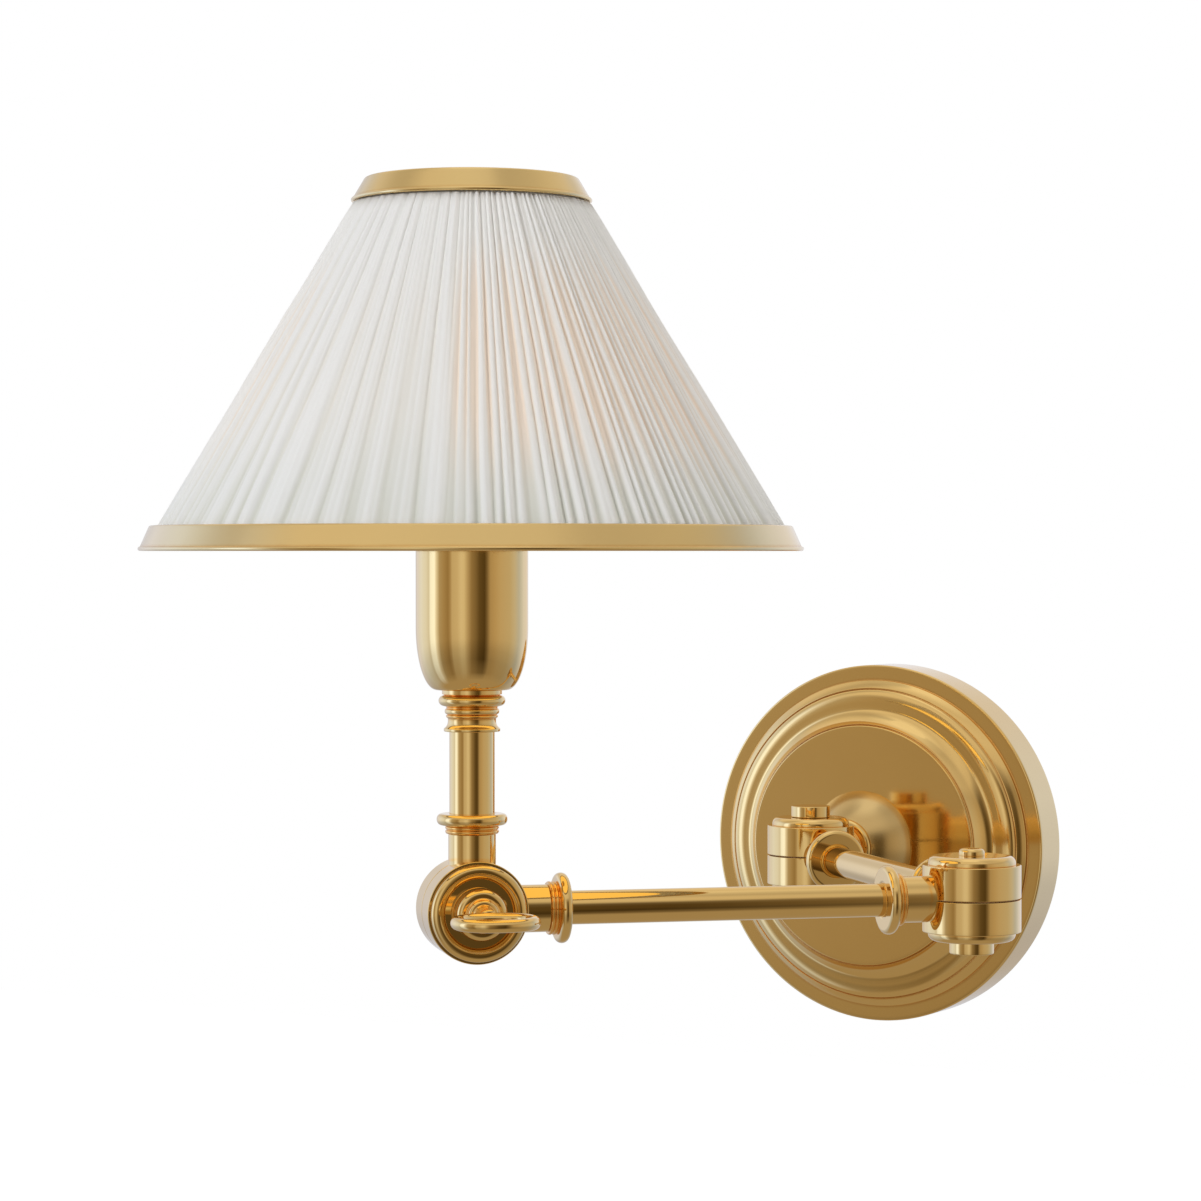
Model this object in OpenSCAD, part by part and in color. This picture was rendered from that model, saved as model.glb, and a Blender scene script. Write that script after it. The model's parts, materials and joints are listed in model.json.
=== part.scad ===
// Swing arm wall sconce: two brass arms on vertical knuckles and a tilting
// head with a gathered fabric shade.
// Origin: the centre of the mounting, on the wall. +Z is up, +X is to the right
// as seen from the room, and the arms reach out into the room along -Y.

/* [Rest pose] */
// Angle of the wall arm, from straight out, towards the right
arm_1_angle = 45; // [10:1:80]
// Angle of the outer arm, from straight out, towards the left
arm_2_angle = 47; // [10:1:70]

/* [Wall plate] */
// Diameter of the wall plate
plate_d = 154; // [150:1:190]
// Depth of the plate's plain rim
plate_rim_h = 19.7; // [14:0.1:30]
// Thickness of the spun brass
plate_wall = 1.5; // [1:0.1:2]
// Width of the flat ring next to the rim
plate_ring_w = 6.5; // [4:0.1:9]
// Height of the sharp step inside the flat ring
plate_step_h = 1.4; // [0.6:0.1:2.5]
// Width of the outer rounded moulding
outer_mould_w = 7.3; // [4:0.1:9]
// Height of the outer rounded moulding
outer_mould_h = 5; // [3:0.1:7]
// Width of the flat between the two mouldings
mould_gap_w = 6.2; // [3:0.1:9]
// Width of the inner rounded moulding
inner_mould_w = 5.5; // [3:0.1:8]
// Height of the inner rounded moulding
inner_mould_h = 7.4; // [4:0.1:9]
// Height of the last small step up to the plate's flat middle
plate_middle_step_h = 1.2; // [0.6:0.1:2]
// Base diameter of the domed boss
boss_d = 47; // [38:0.5:60]
// Height of the domed boss
boss_h = 14.3; // [9:0.1:22]
// Diameter of the boss where it meets the collar
boss_top_d = 22; // [18:0.5:25]

/* [Wall mounting] */
// Length of the mounting bar
bar_l = 114; // [112:1:120]
// Width of the mounting bar
bar_w = 22; // [18:1:30]
// Thickness of the mounting bar
bar_t = 3; // [2:0.1:4]
// Distance between the two box screws
box_screw_spacing = 88.9; // [80:0.1:94]
// Length of each box screw slot, end to end
slot_l = 14; // [8:0.5:16]
// Width of each box screw slot
slot_w = 4.6; // [4:0.1:6]
// Across flats of the nuts on the threaded pipes
locknut_af = 14; // [13:0.5:16]
// Thickness of the nuts on the threaded pipes
locknut_t = 3.5; // [2:0.1:5]
// Distance of the earth screw from the middle of the bar
earth_screw_x = 20; // [16:0.5:26]
// Thread diameter of the earth screw
earth_screw_d = 4.8; // [4:0.1:6]
// Head diameter of the earth screw
earth_head_d = 9; // [8:0.1:11]
// Height of the earth screw's head
earth_head_h = 3; // [2:0.1:4]

/* [Arms] */
// Length of each arm, from knuckle centre to knuckle centre
arm_l = 185; // [150:1:260]
// Outer diameter of the arm tube
arm_tube_d = 12; // [11.6:0.1:14]
// Outer diameter of the threaded pipe inside the joints
pipe_d = 9.9; // [9:0.1:10.2]
// Bore of the threaded pipe
pipe_bore_d = 7; // [4:0.1:7.6]
// How far a short pipe reaches into an arm tube
pipe_reach = 14; // [8:0.5:24]

/* [Knuckles] */
// Diameter of a knuckle
knuckle_d = 36; // [34:0.5:42]
// Height of one knuckle half, from the split to its ledge
knuckle_half_h = 12.2; // [11:0.1:16]
// Wall of a knuckle half
knuckle_wall = 2.2; // [1.6:0.1:2.6]
// Floor of a knuckle half, next to the split
knuckle_floor = 2.5; // [1.6:0.1:3]
// Diameter of a knuckle cap
cap_d = 32; // [29:0.5:33]
// Height of a knuckle cap
cap_h = 3.3; // [2:0.1:5]
// Radius of the cap's rounded edge
cap_round = 2.6; // [1:0.1:2.8]
// Height of the gap at the split, which holds the friction washer
split_gap = 0.5; // [0.4:0.05:0.8]
// Diameter of the hub around the pivot bolt
hub_d = 12; // [10:0.5:14]
// Diameter of the pivot bolt
bolt_d = 6; // [5:0.1:7]
// Diameter of the bolt's button head
button_d = 9.4; // [9:0.1:11]
// Height of the bolt's button head
button_h = 2.5; // [2:0.1:4]
// Diameter of the round pivot nut
pivot_nut_d = 16.2; // [12:0.1:20]
// Height of the round pivot nut
pivot_nut_h = 4.6; // [4:0.1:7]
// Diameter of the stub that stands out of a knuckle half
stub_d = 16.8; // [14:0.1:17.5]
// Distance from the knuckle's axis to the end of the stub
stub_end = 27; // [25:0.1:32]

/* [Collars] */
// Diameter of the collar's two thin rings
collar_ring_d = 19; // [18:0.1:21]
// Length of the collar's two thin rings together
collar_ring_l = 3; // [2:0.1:5]
// Diameter of the collar's flange
flange_d = 25; // [22:0.1:26]
// Thickness of the collar's flange
flange_t = 4; // [3:0.1:5]

/* [Tension key] */
// Diameter of the bead round the front of the tilting knuckle
bead_d = 34; // [32:0.5:35]
// Diameter of the recess inside the bead
recess_d = 27; // [24:0.5:28]
// Diameter of the key's round base
key_base_d = 18.3; // [16:0.1:21]
// Height of the key's round base
key_base_h = 7; // [5:0.1:9]
// Diameter of the raised middle of the key's base
key_step_d = 11; // [9.5:0.1:13]
// Height of the raised middle of the key's base
key_step_h = 2; // [1:0.1:4]
// Diameter of the neck that carries the loop
key_neck_d = 6.4; // [5:0.1:8]
// Length of the neck, from the base to the loop
key_neck_l = 7; // [3:0.1:12]
// Width of the loop, outside
loop_w = 31; // [28:0.5:38]
// Depth of the loop, outside
loop_l = 27; // [22:0.5:28]
// Thickness of the loop's round section
loop_wire_d = 4.5; // [3.5:0.1:5.5]

/* [Stem] */
// Outer diameter of the stem tube
stem_d = 16; // [14.6:0.1:17]
// Wall of the stem tube
stem_wall = 1; // [0.8:0.1:1.4]
// Visible length of the stem tube
stem_l = 28.9; // [20:0.1:60]
// Height of the turned fitting between the stem and the cup
fitting_h = 14.6; // [12:0.1:20]
// Diameter of the fitting's lower flare
fitting_flare_d = 20; // [19:0.1:22]
// Diameter of the fitting's upper bead
fitting_bead_d = 23.7; // [22:0.1:26]
// Diameter of the fitting's neck
fitting_neck_d = 17.6; // [17.4:0.1:18.5]

/* [Socket cup] */
// Outer diameter of the socket cup
cup_d = 39.6; // [38:0.1:46]
// Height of the cup
cup_h = 56.5; // [48:0.5:70]
// Height of the cup's rounded bottom
cup_round_h = 21.9; // [16:0.1:26]
// Diameter of the flat at the bottom of the cup
cup_foot_d = 25; // [20:0.5:28]
// Thickness of the cup's brass
cup_wall = 1.2; // [0.8:0.1:1.6]

/* [Lamp holder] */
// Bore of the screw shell that takes the lamp
lamp_bore_d = 26.6; // [24:0.1:27.5]
// Depth of the screw shell
lamp_bore_l = 34; // [26:0.5:38]
// Wall of the screw shell
shell_wall = 0.8; // [0.5:0.1:1]
// Wall of the lamp holder round the screw shell
holder_wall = 3; // [2:0.1:3.2]
// Height of the lamp holder's rim on the cup
holder_rim_h = 2; // [1.5:0.1:3]
// Height of the lamp holder above its rim
holder_top_h = 16; // [13:0.5:24]
// Diameter of the centre contact
contact_d = 8; // [5:0.5:10]
// Height of the centre contact, below the screw shell
contact_h = 3; // [2:0.5:5]
// Diameter of the pocket round the centre contact
contact_pocket_d = 18; // [12:0.5:22]
// Outer diameter of the shade ring nut
shade_nut_d = 46; // [44:0.5:50]
// Height of the shade ring nut
shade_nut_h = 6; // [4:0.5:9]

/* [Shade] */
// Height of the shade's lower edge above the tilting pivot
shade_z = 126.3; // [122:0.1:129]
// Height of the shade
shade_h = 130.6; // [110:0.5:180]
// Diameter of the shade's lower edge, over the trim
shade_bottom_d = 233; // [200:1:280]
// Diameter of the shade's upper edge, over the trim
shade_top_d = 75; // [72:0.5:110]
// Height of the lower metal trim
bottom_trim_h = 9; // [6:0.1:14]
// Height of the upper metal trim
top_trim_h = 8.4; // [6:0.1:14]
// Thickness of the trims' metal
trim_t = 0.9; // [0.6:0.1:1.2]
// How far the lower trim stands proud of the fabric
trim_proud = 3; // [2.4:0.1:5]
// Thickness of the gathered fabric
fabric_t = 2; // [1:0.1:2.5]
// Thickness of the stiff lining
lining_t = 0.6; // [0.4:0.1:1]
// Thickness of the shade's wires
wire_d = 3; // [2:0.1:3.5]
// Number of spokes that carry the shade
spoke_count = 3; // [3:1:6]
// Thickness of the spokes
spoke_d = 2.6; // [1.6:0.1:2.8]
// Thickness of the carrier's ring on the lamp holder
carrier_t = 2; // [1.2:0.1:3]
// Width of the carrier's ring on the lamp holder
carrier_w = 7.5; // [6:0.5:9]

/* [Clearances] */
// Radial clearance of a shaft or a thread in its hole
thread_gap = 0.05; // [0.02:0.01:0.1]
// Clearance between pieces that turn past each other
run_gap = 0.3; // [0.25:0.05:0.5]
// Clearance of sliding flat faces
slip_gap = 0.1; // [0.05:0.05:0.15]

/* [Hidden] */
$fn = 96;
BRASS = [0.80, 0.62, 0.32];
STEEL = [0.70, 0.71, 0.72];
FIBRE = [0.20, 0.16, 0.13];
PLASTIC = [0.92, 0.91, 0.88];
LINEN = [0.93, 0.92, 0.88];
CUT = 400;          // longer than any hole that is cut through a piece
EDGE = 0.8;         // small rounding of turned edges
HEX = 6;            // sides of a nut

// Heights on the wall plate, measured out from the wall
plate_r = plate_d / 2;
outer_mould_r = plate_r - plate_ring_w;
outer_mould_z = plate_rim_h + plate_step_h;
mould_gap_r = outer_mould_r - outer_mould_w;
mould_gap_z = outer_mould_z + outer_mould_h;
inner_mould_r = mould_gap_r - mould_gap_w;
middle_r = inner_mould_r - inner_mould_w;
inner_mould_top = mould_gap_z + inner_mould_h;
plate_face = inner_mould_top + plate_middle_step_h;
collar_end = stub_end + collar_ring_l + flange_t;
wall_reach = plate_face + boss_h + collar_end;

// Bores
bolt_bore_d = bolt_d + 2 * thread_gap;
pipe_hole_d = pipe_d + 2 * thread_gap;

// Knuckle heights, measured from the split
half_z = split_gap / 2;
ledge_z = knuckle_half_h;
cap_z = ledge_z + cap_h;
knuckle_r = knuckle_d / 2;
cavity_r = knuckle_r - knuckle_wall;
pipe_start = knuckle_r + run_gap + 0.7;
wire_hole_d = 5;
wire_hole_r = (hub_d + wire_hole_d) / 2 + 1;
washer_in_r = wire_hole_r + wire_hole_d / 2 + slip_gap;
washer_out_r = cavity_r + knuckle_wall / 2;
cap_spigot_l = 1.5;
cap_spigot_w = 2.5;

// Key heights, measured from the split
recess_floor = ledge_z + 1;
key_base_z = recess_floor + 2 * slip_gap;
key_step_z = key_base_z + key_base_h;
key_neck_z = key_step_z + key_step_h;
loop_z = key_neck_z + key_neck_l + loop_l / 2;
stud_front = key_step_z - 1;
stud_back = cap_z + button_h / 2;

// Head heights, measured from the tilting pivot
stem_top = collar_end + stem_l;
cup_z = stem_top + fitting_h;
cup_top = cup_z + cup_h;
holder_bottom = cup_z + cup_round_h;
holder_d = cup_d - 2 * cup_wall - 2 * run_gap;
holder_rim_top = cup_top + holder_rim_h;
holder_top = holder_rim_top + holder_top_h;
shell_bottom = holder_top - 1 - lamp_bore_l;
pipe_top = holder_bottom - 1;
carrier_in_r = holder_d / 2 + run_gap;
carrier_out_r = carrier_in_r + carrier_w;
shade_nut_z = holder_rim_top + carrier_t;

// The shade's cone. fabric_r(z) is the fabric's outer radius at a height
bottom_trim_top = shade_z + bottom_trim_h;
shade_top = shade_z + shade_h;
top_trim_z = shade_top - top_trim_h;
top_trim_slope = 0.577;
top_trim_r = shade_top_d / 2 + top_trim_h * top_trim_slope;
trim_lean = 4;
bottom_trim_r = shade_bottom_d / 2 - trim_lean;
fabric_low_r = bottom_trim_r - trim_proud;
fabric_slope = (fabric_low_r - top_trim_r) / (top_trim_z - bottom_trim_top);
function fabric_r(z) = fabric_low_r - (z - bottom_trim_top) * fabric_slope;
radial = sqrt(1 + fabric_slope * fabric_slope);
skin_gap = 0.2;
fabric_in = fabric_t * radial;
lining_out = fabric_in + skin_gap;
lining_in = lining_out + lining_t * radial;
lining_low = shade_z + trim_t + skin_gap;
lining_high = shade_top - trim_t - skin_gap;
function wire_r(z) = fabric_r(z + wire_d / 2) - lining_in - skin_gap - wire_d / 2;
low_wire_z = lining_low + wire_d / 2;
top_wire_z = lining_high - wire_d / 2;
low_wire_r = wire_r(low_wire_z);
top_wire_r = wire_r(top_wire_z);
roll_r = 0.8;

// ---- Places ----

arm_1_turn = arm_1_angle - 90;
arm_2_turn = -90 - arm_2_angle;
wall_pivot = [0, -wall_reach, 0];
elbow_pivot = wall_pivot + arm_l * [cos(arm_1_turn), sin(arm_1_turn), 0];
tilt_pivot = elbow_pivot + arm_l * [cos(arm_2_turn), sin(arm_2_turn), 0];

// Turns a shape drawn round Z so that its Z points out from the wall
module out_from_wall() {
    rotate([90, 0, 0]) children();
}

// Turns a shape drawn along Z so that it lies along X
module along_x() {
    rotate([0, 90, 0]) children();
}

// Places of the three knuckles, each with X along an arm that meets it
module at_wall_pivot(turn = 90) {
    translate(wall_pivot) rotate([0, 0, turn]) children();
}

module at_elbow(turn) {
    translate(elbow_pivot) rotate([0, 0, turn]) children();
}

// X points back along the outer arm, Y up and Z out of the front, towards the key
module at_tilt_knuckle() {
    translate(tilt_pivot) rotate([0, 0, arm_2_turn + 180]) rotate([90, 0, 0]) children();
}

module at_head() {
    translate(tilt_pivot) children();
}

module upside_down() {
    rotate([180, 0, 0]) children();
}

// ---- Shared shapes ----

// Points of a rounded moulding that rises from (r, z) by h and goes in by w
function moulding(r, z, w, h, steps = 10) =
    [for (i = [0:steps]) [r - w * (1 - cos(90 * i / steps)), z + h * sin(90 * i / steps)]];

// A turned piece with a bore
module turned(points, bore_d) {
    difference() {
        rotate_extrude() polygon(points);
        cylinder(d = bore_d, h = CUT, center = true);
    }
}

// A plain ring or tube along Z
module ring(outer_d, inner_d, z, h) {
    translate([0, 0, z]) difference() {
        cylinder(d = outer_d, h = h);
        translate([0, 0, -1]) cylinder(d = inner_d, h = h + 2);
    }
}

// One half of a knuckle, above the split, with its stub along X. The stub's end below
// the split is hollowed to clear the other half
module knuckle_half() {
    difference() {
        union() {
            translate([0, 0, half_z]) cylinder(d = knuckle_d, h = ledge_z - half_z);
            translate([knuckle_r - 2 * knuckle_wall, 0, 0]) along_x()
                cylinder(d = stub_d, h = stub_end - knuckle_r + 2 * knuckle_wall);
        }
        translate([0, 0, half_z + knuckle_floor]) difference() {
            cylinder(r = cavity_r, h = ledge_z);
            cylinder(d = hub_d, h = ledge_z);
        }
        translate([0, 0, half_z - CUT]) cylinder(r = knuckle_r + run_gap, h = CUT);
        cylinder(d = bolt_bore_d, h = CUT, center = true);
        translate([-wire_hole_r, 0, 0]) cylinder(d = wire_hole_d, h = ledge_z);
        translate([knuckle_r - 2 * knuckle_wall, 0, 0]) along_x() cylinder(d = pipe_hole_d, h = CUT);
    }
}

// The cap that closes a knuckle half
module knuckle_cap(bore_d) {
    cap_r = cap_d / 2;
    turned(concat(
        [[0, ledge_z], [cap_r, ledge_z]],
        moulding(cap_r, cap_z - cap_round, cap_round, cap_round),
        [[0, cap_z]]
    ), bore_d);
    spigot_r = cavity_r - slip_gap;
    ring(2 * spigot_r, 2 * (spigot_r - cap_spigot_w), ledge_z - cap_spigot_l, cap_spigot_l);
}

// The pivot bolt with its button head below and its thread above
module pivot_bolt() {
    translate([0, 0, -cap_z]) cylinder(d = bolt_d, h = 2 * cap_z + pivot_nut_h / 2);
    upside_down() rotate_extrude() polygon(concat(
        [[0, cap_z], [button_d / 2, cap_z]],
        moulding(button_d / 2, cap_z + button_h / 2, button_h / 2, button_h / 2),
        [[0, cap_z + button_h]]
    ));
}

// The round nut on the pivot bolt
module pivot_nut() {
    translate([0, 0, cap_z + slip_gap]) difference() {
        cylinder(d = pivot_nut_d, h = pivot_nut_h);
        translate([0, 0, -1]) cylinder(d = bolt_bore_d, h = pivot_nut_h / 2 + 1 + slip_gap);
    }
}

// The friction washer in a knuckle's split
module friction_washer() {
    ring(2 * washer_out_r, 2 * washer_in_r, slip_gap - half_z, split_gap - 2 * slip_gap);
}

// A collar along X: two thin rings, then a rounded flange
module collar(bore_d) {
    ring_l = collar_ring_l / 2;
    groove = 0.4;
    flange_r = flange_d / 2;
    flange_z = stub_end + collar_ring_l;
    ring_r = collar_ring_d / 2;
    along_x() turned(concat(
        [[0, stub_end], [ring_r, stub_end], [ring_r, stub_end + ring_l - groove],
         [ring_r - groove, stub_end + ring_l], [ring_r, stub_end + ring_l + groove],
         [ring_r, flange_z]],
        [for (i = [0:10]) [flange_r - EDGE * 2 * (1 - sin(180 * i / 10)),
                           flange_z + flange_t / 2 - flange_t / 2 * cos(180 * i / 10)]],
        [[0, collar_end]]
    ), bore_d);
}

// A short threaded pipe along X, from inside a stub to inside an arm tube
module short_pipe() {
    along_x() ring(pipe_d, pipe_bore_d, pipe_start, stub_end + pipe_reach - pipe_start);
}

// What both arms share. X runs from the arm's first knuckle to its second
module both_ends() {
    children();
    translate([arm_l, 0, 0]) rotate([0, 0, 180]) children();
}

module arm_tube() {
    translate([stub_end, 0, 0]) along_x()
        ring(arm_tube_d, pipe_hole_d, 0, arm_l - 2 * stub_end);
}

// A hexagonal nut on a threaded pipe
module locknut(z) {
    translate([0, 0, z]) difference() {
        cylinder(d = locknut_af / cos(30), h = locknut_t, $fn = HEX);
        translate([0, 0, -1]) cylinder(d = pipe_hole_d, h = locknut_t + 2);
    }
}

// ---- Wall plate and its mounting ----

module backplate() {
    face = concat(
        [[0, 0], [plate_r, 0]],
        moulding(plate_r, plate_rim_h - EDGE, EDGE, EDGE),
        [[outer_mould_r, plate_rim_h]],
        moulding(outer_mould_r, outer_mould_z, outer_mould_w, outer_mould_h),
        [[inner_mould_r, mould_gap_z]],
        moulding(inner_mould_r, mould_gap_z, inner_mould_w, inner_mould_h),
        [[middle_r, plate_face], [0, plate_face]]
    );
    color(BRASS) out_from_wall() difference() {
        turned(face, pipe_hole_d);
        translate([0, 0, -1]) cylinder(r = plate_r - plate_wall, h = plate_rim_h - plate_wall + 1);
        cylinder(r = mould_gap_r - plate_wall, h = mould_gap_z - plate_wall);
        cylinder(r = middle_r - plate_wall, h = plate_face - plate_wall);
    }
}

module mounting_bar() {
    color(STEEL) out_from_wall() difference() {
        translate([-bar_l / 2, -bar_w / 2, 0]) cube([bar_l, bar_w, bar_t]);
        for (side = [-1, 1]) translate([side * box_screw_spacing / 2, 0, 0]) {
            for (end = [-1, 1]) translate([end * (slot_l - slot_w) / 2, 0, 0])
                cylinder(d = slot_w, h = CUT, center = true);
            cube([slot_l - slot_w, slot_w, CUT], center = true);
        }
        cylinder(d = pipe_hole_d, h = CUT, center = true);
        translate([-earth_screw_x, 0, 0])
            cylinder(d = earth_screw_d + 2 * thread_gap, h = CUT, center = true);
    }
}

module earth_screw() {
    color("seagreen") out_from_wall() translate([-earth_screw_x, 0, 0]) {
        translate([0, 0, slip_gap]) cylinder(d = earth_screw_d, h = bar_t + earth_head_h / 2);
        translate([0, 0, bar_t]) difference() {
            cylinder(d = earth_head_d, h = earth_head_h);
            translate([0, 0, earth_head_h]) cube([earth_head_d + 1, 1, earth_head_h], center = true);
        }
    }
}

module centre_pipe() {
    color(STEEL) out_from_wall()
        ring(pipe_d, pipe_bore_d, slip_gap, wall_reach - pipe_start - slip_gap);
}

module pipe_locknuts() {
    color(STEEL) out_from_wall() {
        locknut(bar_t);
        locknut(plate_face - plate_wall - locknut_t);
    }
}

module wall_boss() {
    color(BRASS) out_from_wall() turned(concat(
        [[0, plate_face], [boss_d / 2, plate_face]],
        moulding(boss_d / 2, plate_face + EDGE, (boss_d - boss_top_d) / 2, boss_h - EDGE),
        [[0, plate_face + boss_h]]
    ), pipe_hole_d);
}

module wall_collar() {
    color(BRASS) at_wall_pivot() collar(pipe_hole_d);
}

module wall_knuckle() {
    color(BRASS) at_wall_pivot() upside_down() knuckle_half();
}

module wall_knuckle_cap() {
    color(BRASS) at_wall_pivot() upside_down() knuckle_cap(bolt_bore_d);
}

module wall_pivot_bolt() {
    color(BRASS) at_wall_pivot() pivot_bolt();
}

module wall_pivot_nut() {
    color(BRASS) at_wall_pivot() pivot_nut();
}

module wall_washer() {
    color(FIBRE) at_wall_pivot() friction_washer();
}

// ---- Wall arm ----

module arm_1_inner_knuckle() {
    color(BRASS) at_wall_pivot(arm_1_turn) knuckle_half();
}

module arm_1_inner_cap() {
    color(BRASS) at_wall_pivot(arm_1_turn) knuckle_cap(bolt_bore_d);
}

module arm_1_pipes() {
    color(STEEL) at_wall_pivot(arm_1_turn) both_ends() short_pipe();
}

module arm_1_collars() {
    color(BRASS) at_wall_pivot(arm_1_turn) both_ends() collar(arm_tube_d + 2 * thread_gap);
}

module arm_1_tube() {
    color(BRASS) at_wall_pivot(arm_1_turn) arm_tube();
}

module arm_1_outer_knuckle() {
    color(BRASS) at_elbow(arm_1_turn + 180) upside_down() knuckle_half();
}

module arm_1_outer_cap() {
    color(BRASS) at_elbow(arm_1_turn) upside_down() knuckle_cap(bolt_bore_d);
}

module elbow_bolt() {
    color(BRASS) at_elbow(arm_1_turn) upside_down() pivot_bolt();
}

module elbow_nut() {
    color(BRASS) at_elbow(arm_1_turn) upside_down() pivot_nut();
}

module elbow_washer() {
    color(FIBRE) at_elbow(arm_1_turn) friction_washer();
}

// ---- Outer arm ----

module arm_2_inner_knuckle() {
    color(BRASS) at_elbow(arm_2_turn) knuckle_half();
}

module arm_2_inner_cap() {
    color(BRASS) at_elbow(arm_2_turn) knuckle_cap(bolt_bore_d);
}

module arm_2_pipes() {
    color(STEEL) at_elbow(arm_2_turn) both_ends() short_pipe();
}

module arm_2_collars() {
    color(BRASS) at_elbow(arm_2_turn) both_ends() collar(arm_tube_d + 2 * thread_gap);
}

module arm_2_tube() {
    color(BRASS) at_elbow(arm_2_turn) arm_tube();
}

module arm_2_tilt_knuckle() {
    color(BRASS) at_tilt_knuckle() upside_down() knuckle_half();
}

module arm_2_tilt_cap() {
    color(BRASS) at_tilt_knuckle() upside_down() knuckle_cap(button_d + 2 * thread_gap);
}

// The blind nut that the key's stud screws into, with a button outside the cap
module tilt_nut() {
    button_r = button_d / 2;
    color(BRASS) at_tilt_knuckle() upside_down() difference() {
        rotate_extrude() polygon(concat(
            [[0, ledge_z], [button_r, ledge_z]],
            moulding(button_r, cap_z + button_h / 2, button_h / 2, button_h / 2),
            [[0, cap_z + button_h]]
        ));
        cylinder(d = bolt_bore_d, h = stud_back + slip_gap);
    }
}

module tilt_washer() {
    color(FIBRE) at_tilt_knuckle() friction_washer();
}

// ---- Tension key ----

module tension_key() {
    base_r = key_base_d / 2;
    step_r = key_step_d / 2;
    wire_r = loop_wire_d / 2;
    bend_r = loop_l / 2 - wire_r;
    straight = loop_w - loop_l;
    color(BRASS) at_tilt_knuckle() difference() {
        union() {
            rotate_extrude() polygon(concat(
                [[0, key_base_z], [base_r, key_base_z]],
                moulding(base_r, key_step_z - 2 * EDGE, 2 * EDGE, 2 * EDGE),
                moulding(step_r, key_neck_z - EDGE, EDGE, EDGE),
                [[key_neck_d / 2, key_neck_z], [key_neck_d / 2, loop_z - bend_r], [0, loop_z - bend_r]]
            ));
            translate([0, 0, loop_z]) rotate([90, 0, 0]) for (side = [0, 180]) rotate([0, 0, side]) {
                translate([straight / 2, 0, 0]) rotate([0, 0, -90]) rotate_extrude(angle = 180)
                    translate([bend_r, 0]) circle(r = wire_r);
                translate([-straight / 2, bend_r, 0]) along_x() cylinder(r = wire_r, h = straight);
            }
        }
        cylinder(d = bolt_bore_d, h = stud_front + slip_gap);
    }
}

module key_stud() {
    color(STEEL) at_tilt_knuckle() translate([0, 0, -stud_back])
        cylinder(d = bolt_d, h = stud_back + stud_front);
}

// ---- Head ----

module stem_knuckle() {
    color(BRASS) at_tilt_knuckle() rotate([0, 0, 90]) knuckle_half();
}

// The flat cover that closes the front of the tilting knuckle, under the key
module stem_cover() {
    spigot_r = cavity_r - slip_gap;
    color(BRASS) at_tilt_knuckle() {
        ring(bead_d, bolt_bore_d, ledge_z, recess_floor - ledge_z);
        ring(2 * spigot_r, 2 * (spigot_r - cap_spigot_w), ledge_z - cap_spigot_l, cap_spigot_l);
    }
}

// The rounded bead on the edge of that cover, round the key
module stem_bead_ring() {
    bead_r = bead_d / 2;
    bead_w = (bead_d - recess_d) / 2;
    color(BRASS) at_tilt_knuckle() turned(concat(
        [[0, recess_floor], [bead_r, recess_floor]],
        [for (i = [0:12]) [bead_r - bead_w / 2 * (1 - cos(180 * i / 12)),
                           cap_z - bead_w / 2 + bead_w / 2 * sin(180 * i / 12)]]
    ), recess_d);
}

module stem_pipe() {
    color(STEEL) at_head() ring(pipe_d, pipe_bore_d, pipe_start, pipe_top - pipe_start);
}

module stem_collar() {
    color(BRASS) at_head() rotate([0, -90, 0]) collar(stem_d + 2 * thread_gap);
}

module stem_tube() {
    color(BRASS) at_head()
        ring(stem_d, stem_d - 2 * stem_wall, stub_end, stem_top - stub_end);
}

// The turned fitting under the cup: flare, neck, thin ring, bead and seat
module cup_fitting() {
    flare_r = fitting_flare_d / 2;
    neck_r = fitting_neck_d / 2;
    bead_r = fitting_bead_d / 2;
    ring_r = (flare_r + neck_r) / 2;
    bead_h = fitting_h * 0.3;
    bead_z = cup_z - bead_h - 1;
    color(BRASS) at_head() turned(concat(
        [[0, stem_top], [flare_r, stem_top], [flare_r, stem_top + fitting_h * 0.09],
         [neck_r, stem_top + fitting_h * 0.28], [neck_r, stem_top + fitting_h * 0.4],
         [ring_r, stem_top + fitting_h * 0.46], [ring_r, bead_z]],
        [for (i = [0:10]) [bead_r - bead_h / 4 * (1 - sin(180 * i / 10)),
                           bead_z + bead_h / 2 - bead_h / 2 * cos(180 * i / 10)]],
        [[bead_r - bead_h / 4, cup_z], [0, cup_z]]
    ), pipe_hole_d);
}

module cup_locknut() {
    color(STEEL) at_head() locknut(cup_z + cup_wall);
}

// The cup's outline: a flat foot, a rounded bottom and a straight side
function cup_outline(r, z, foot_r, round_h, top) = concat(
    [[0, z], [foot_r, z]],
    [for (i = [1:12]) [foot_r + (r - foot_r) * sin(90 * i / 12),
                       z + round_h * (1 - cos(90 * i / 12))]],
    [[r, top], [0, top]]
);

module socket_cup() {
    color(BRASS) at_head() difference() {
        rotate_extrude() polygon(
            cup_outline(cup_d / 2, cup_z, cup_foot_d / 2, cup_round_h, cup_top));
        rotate_extrude() polygon(
            cup_outline(cup_d / 2 - cup_wall, cup_z + cup_wall, cup_foot_d / 2 - cup_wall / 2,
                        cup_round_h - cup_wall, cup_top + 1));
        cylinder(d = pipe_hole_d, h = CUT);
    }
}

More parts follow.
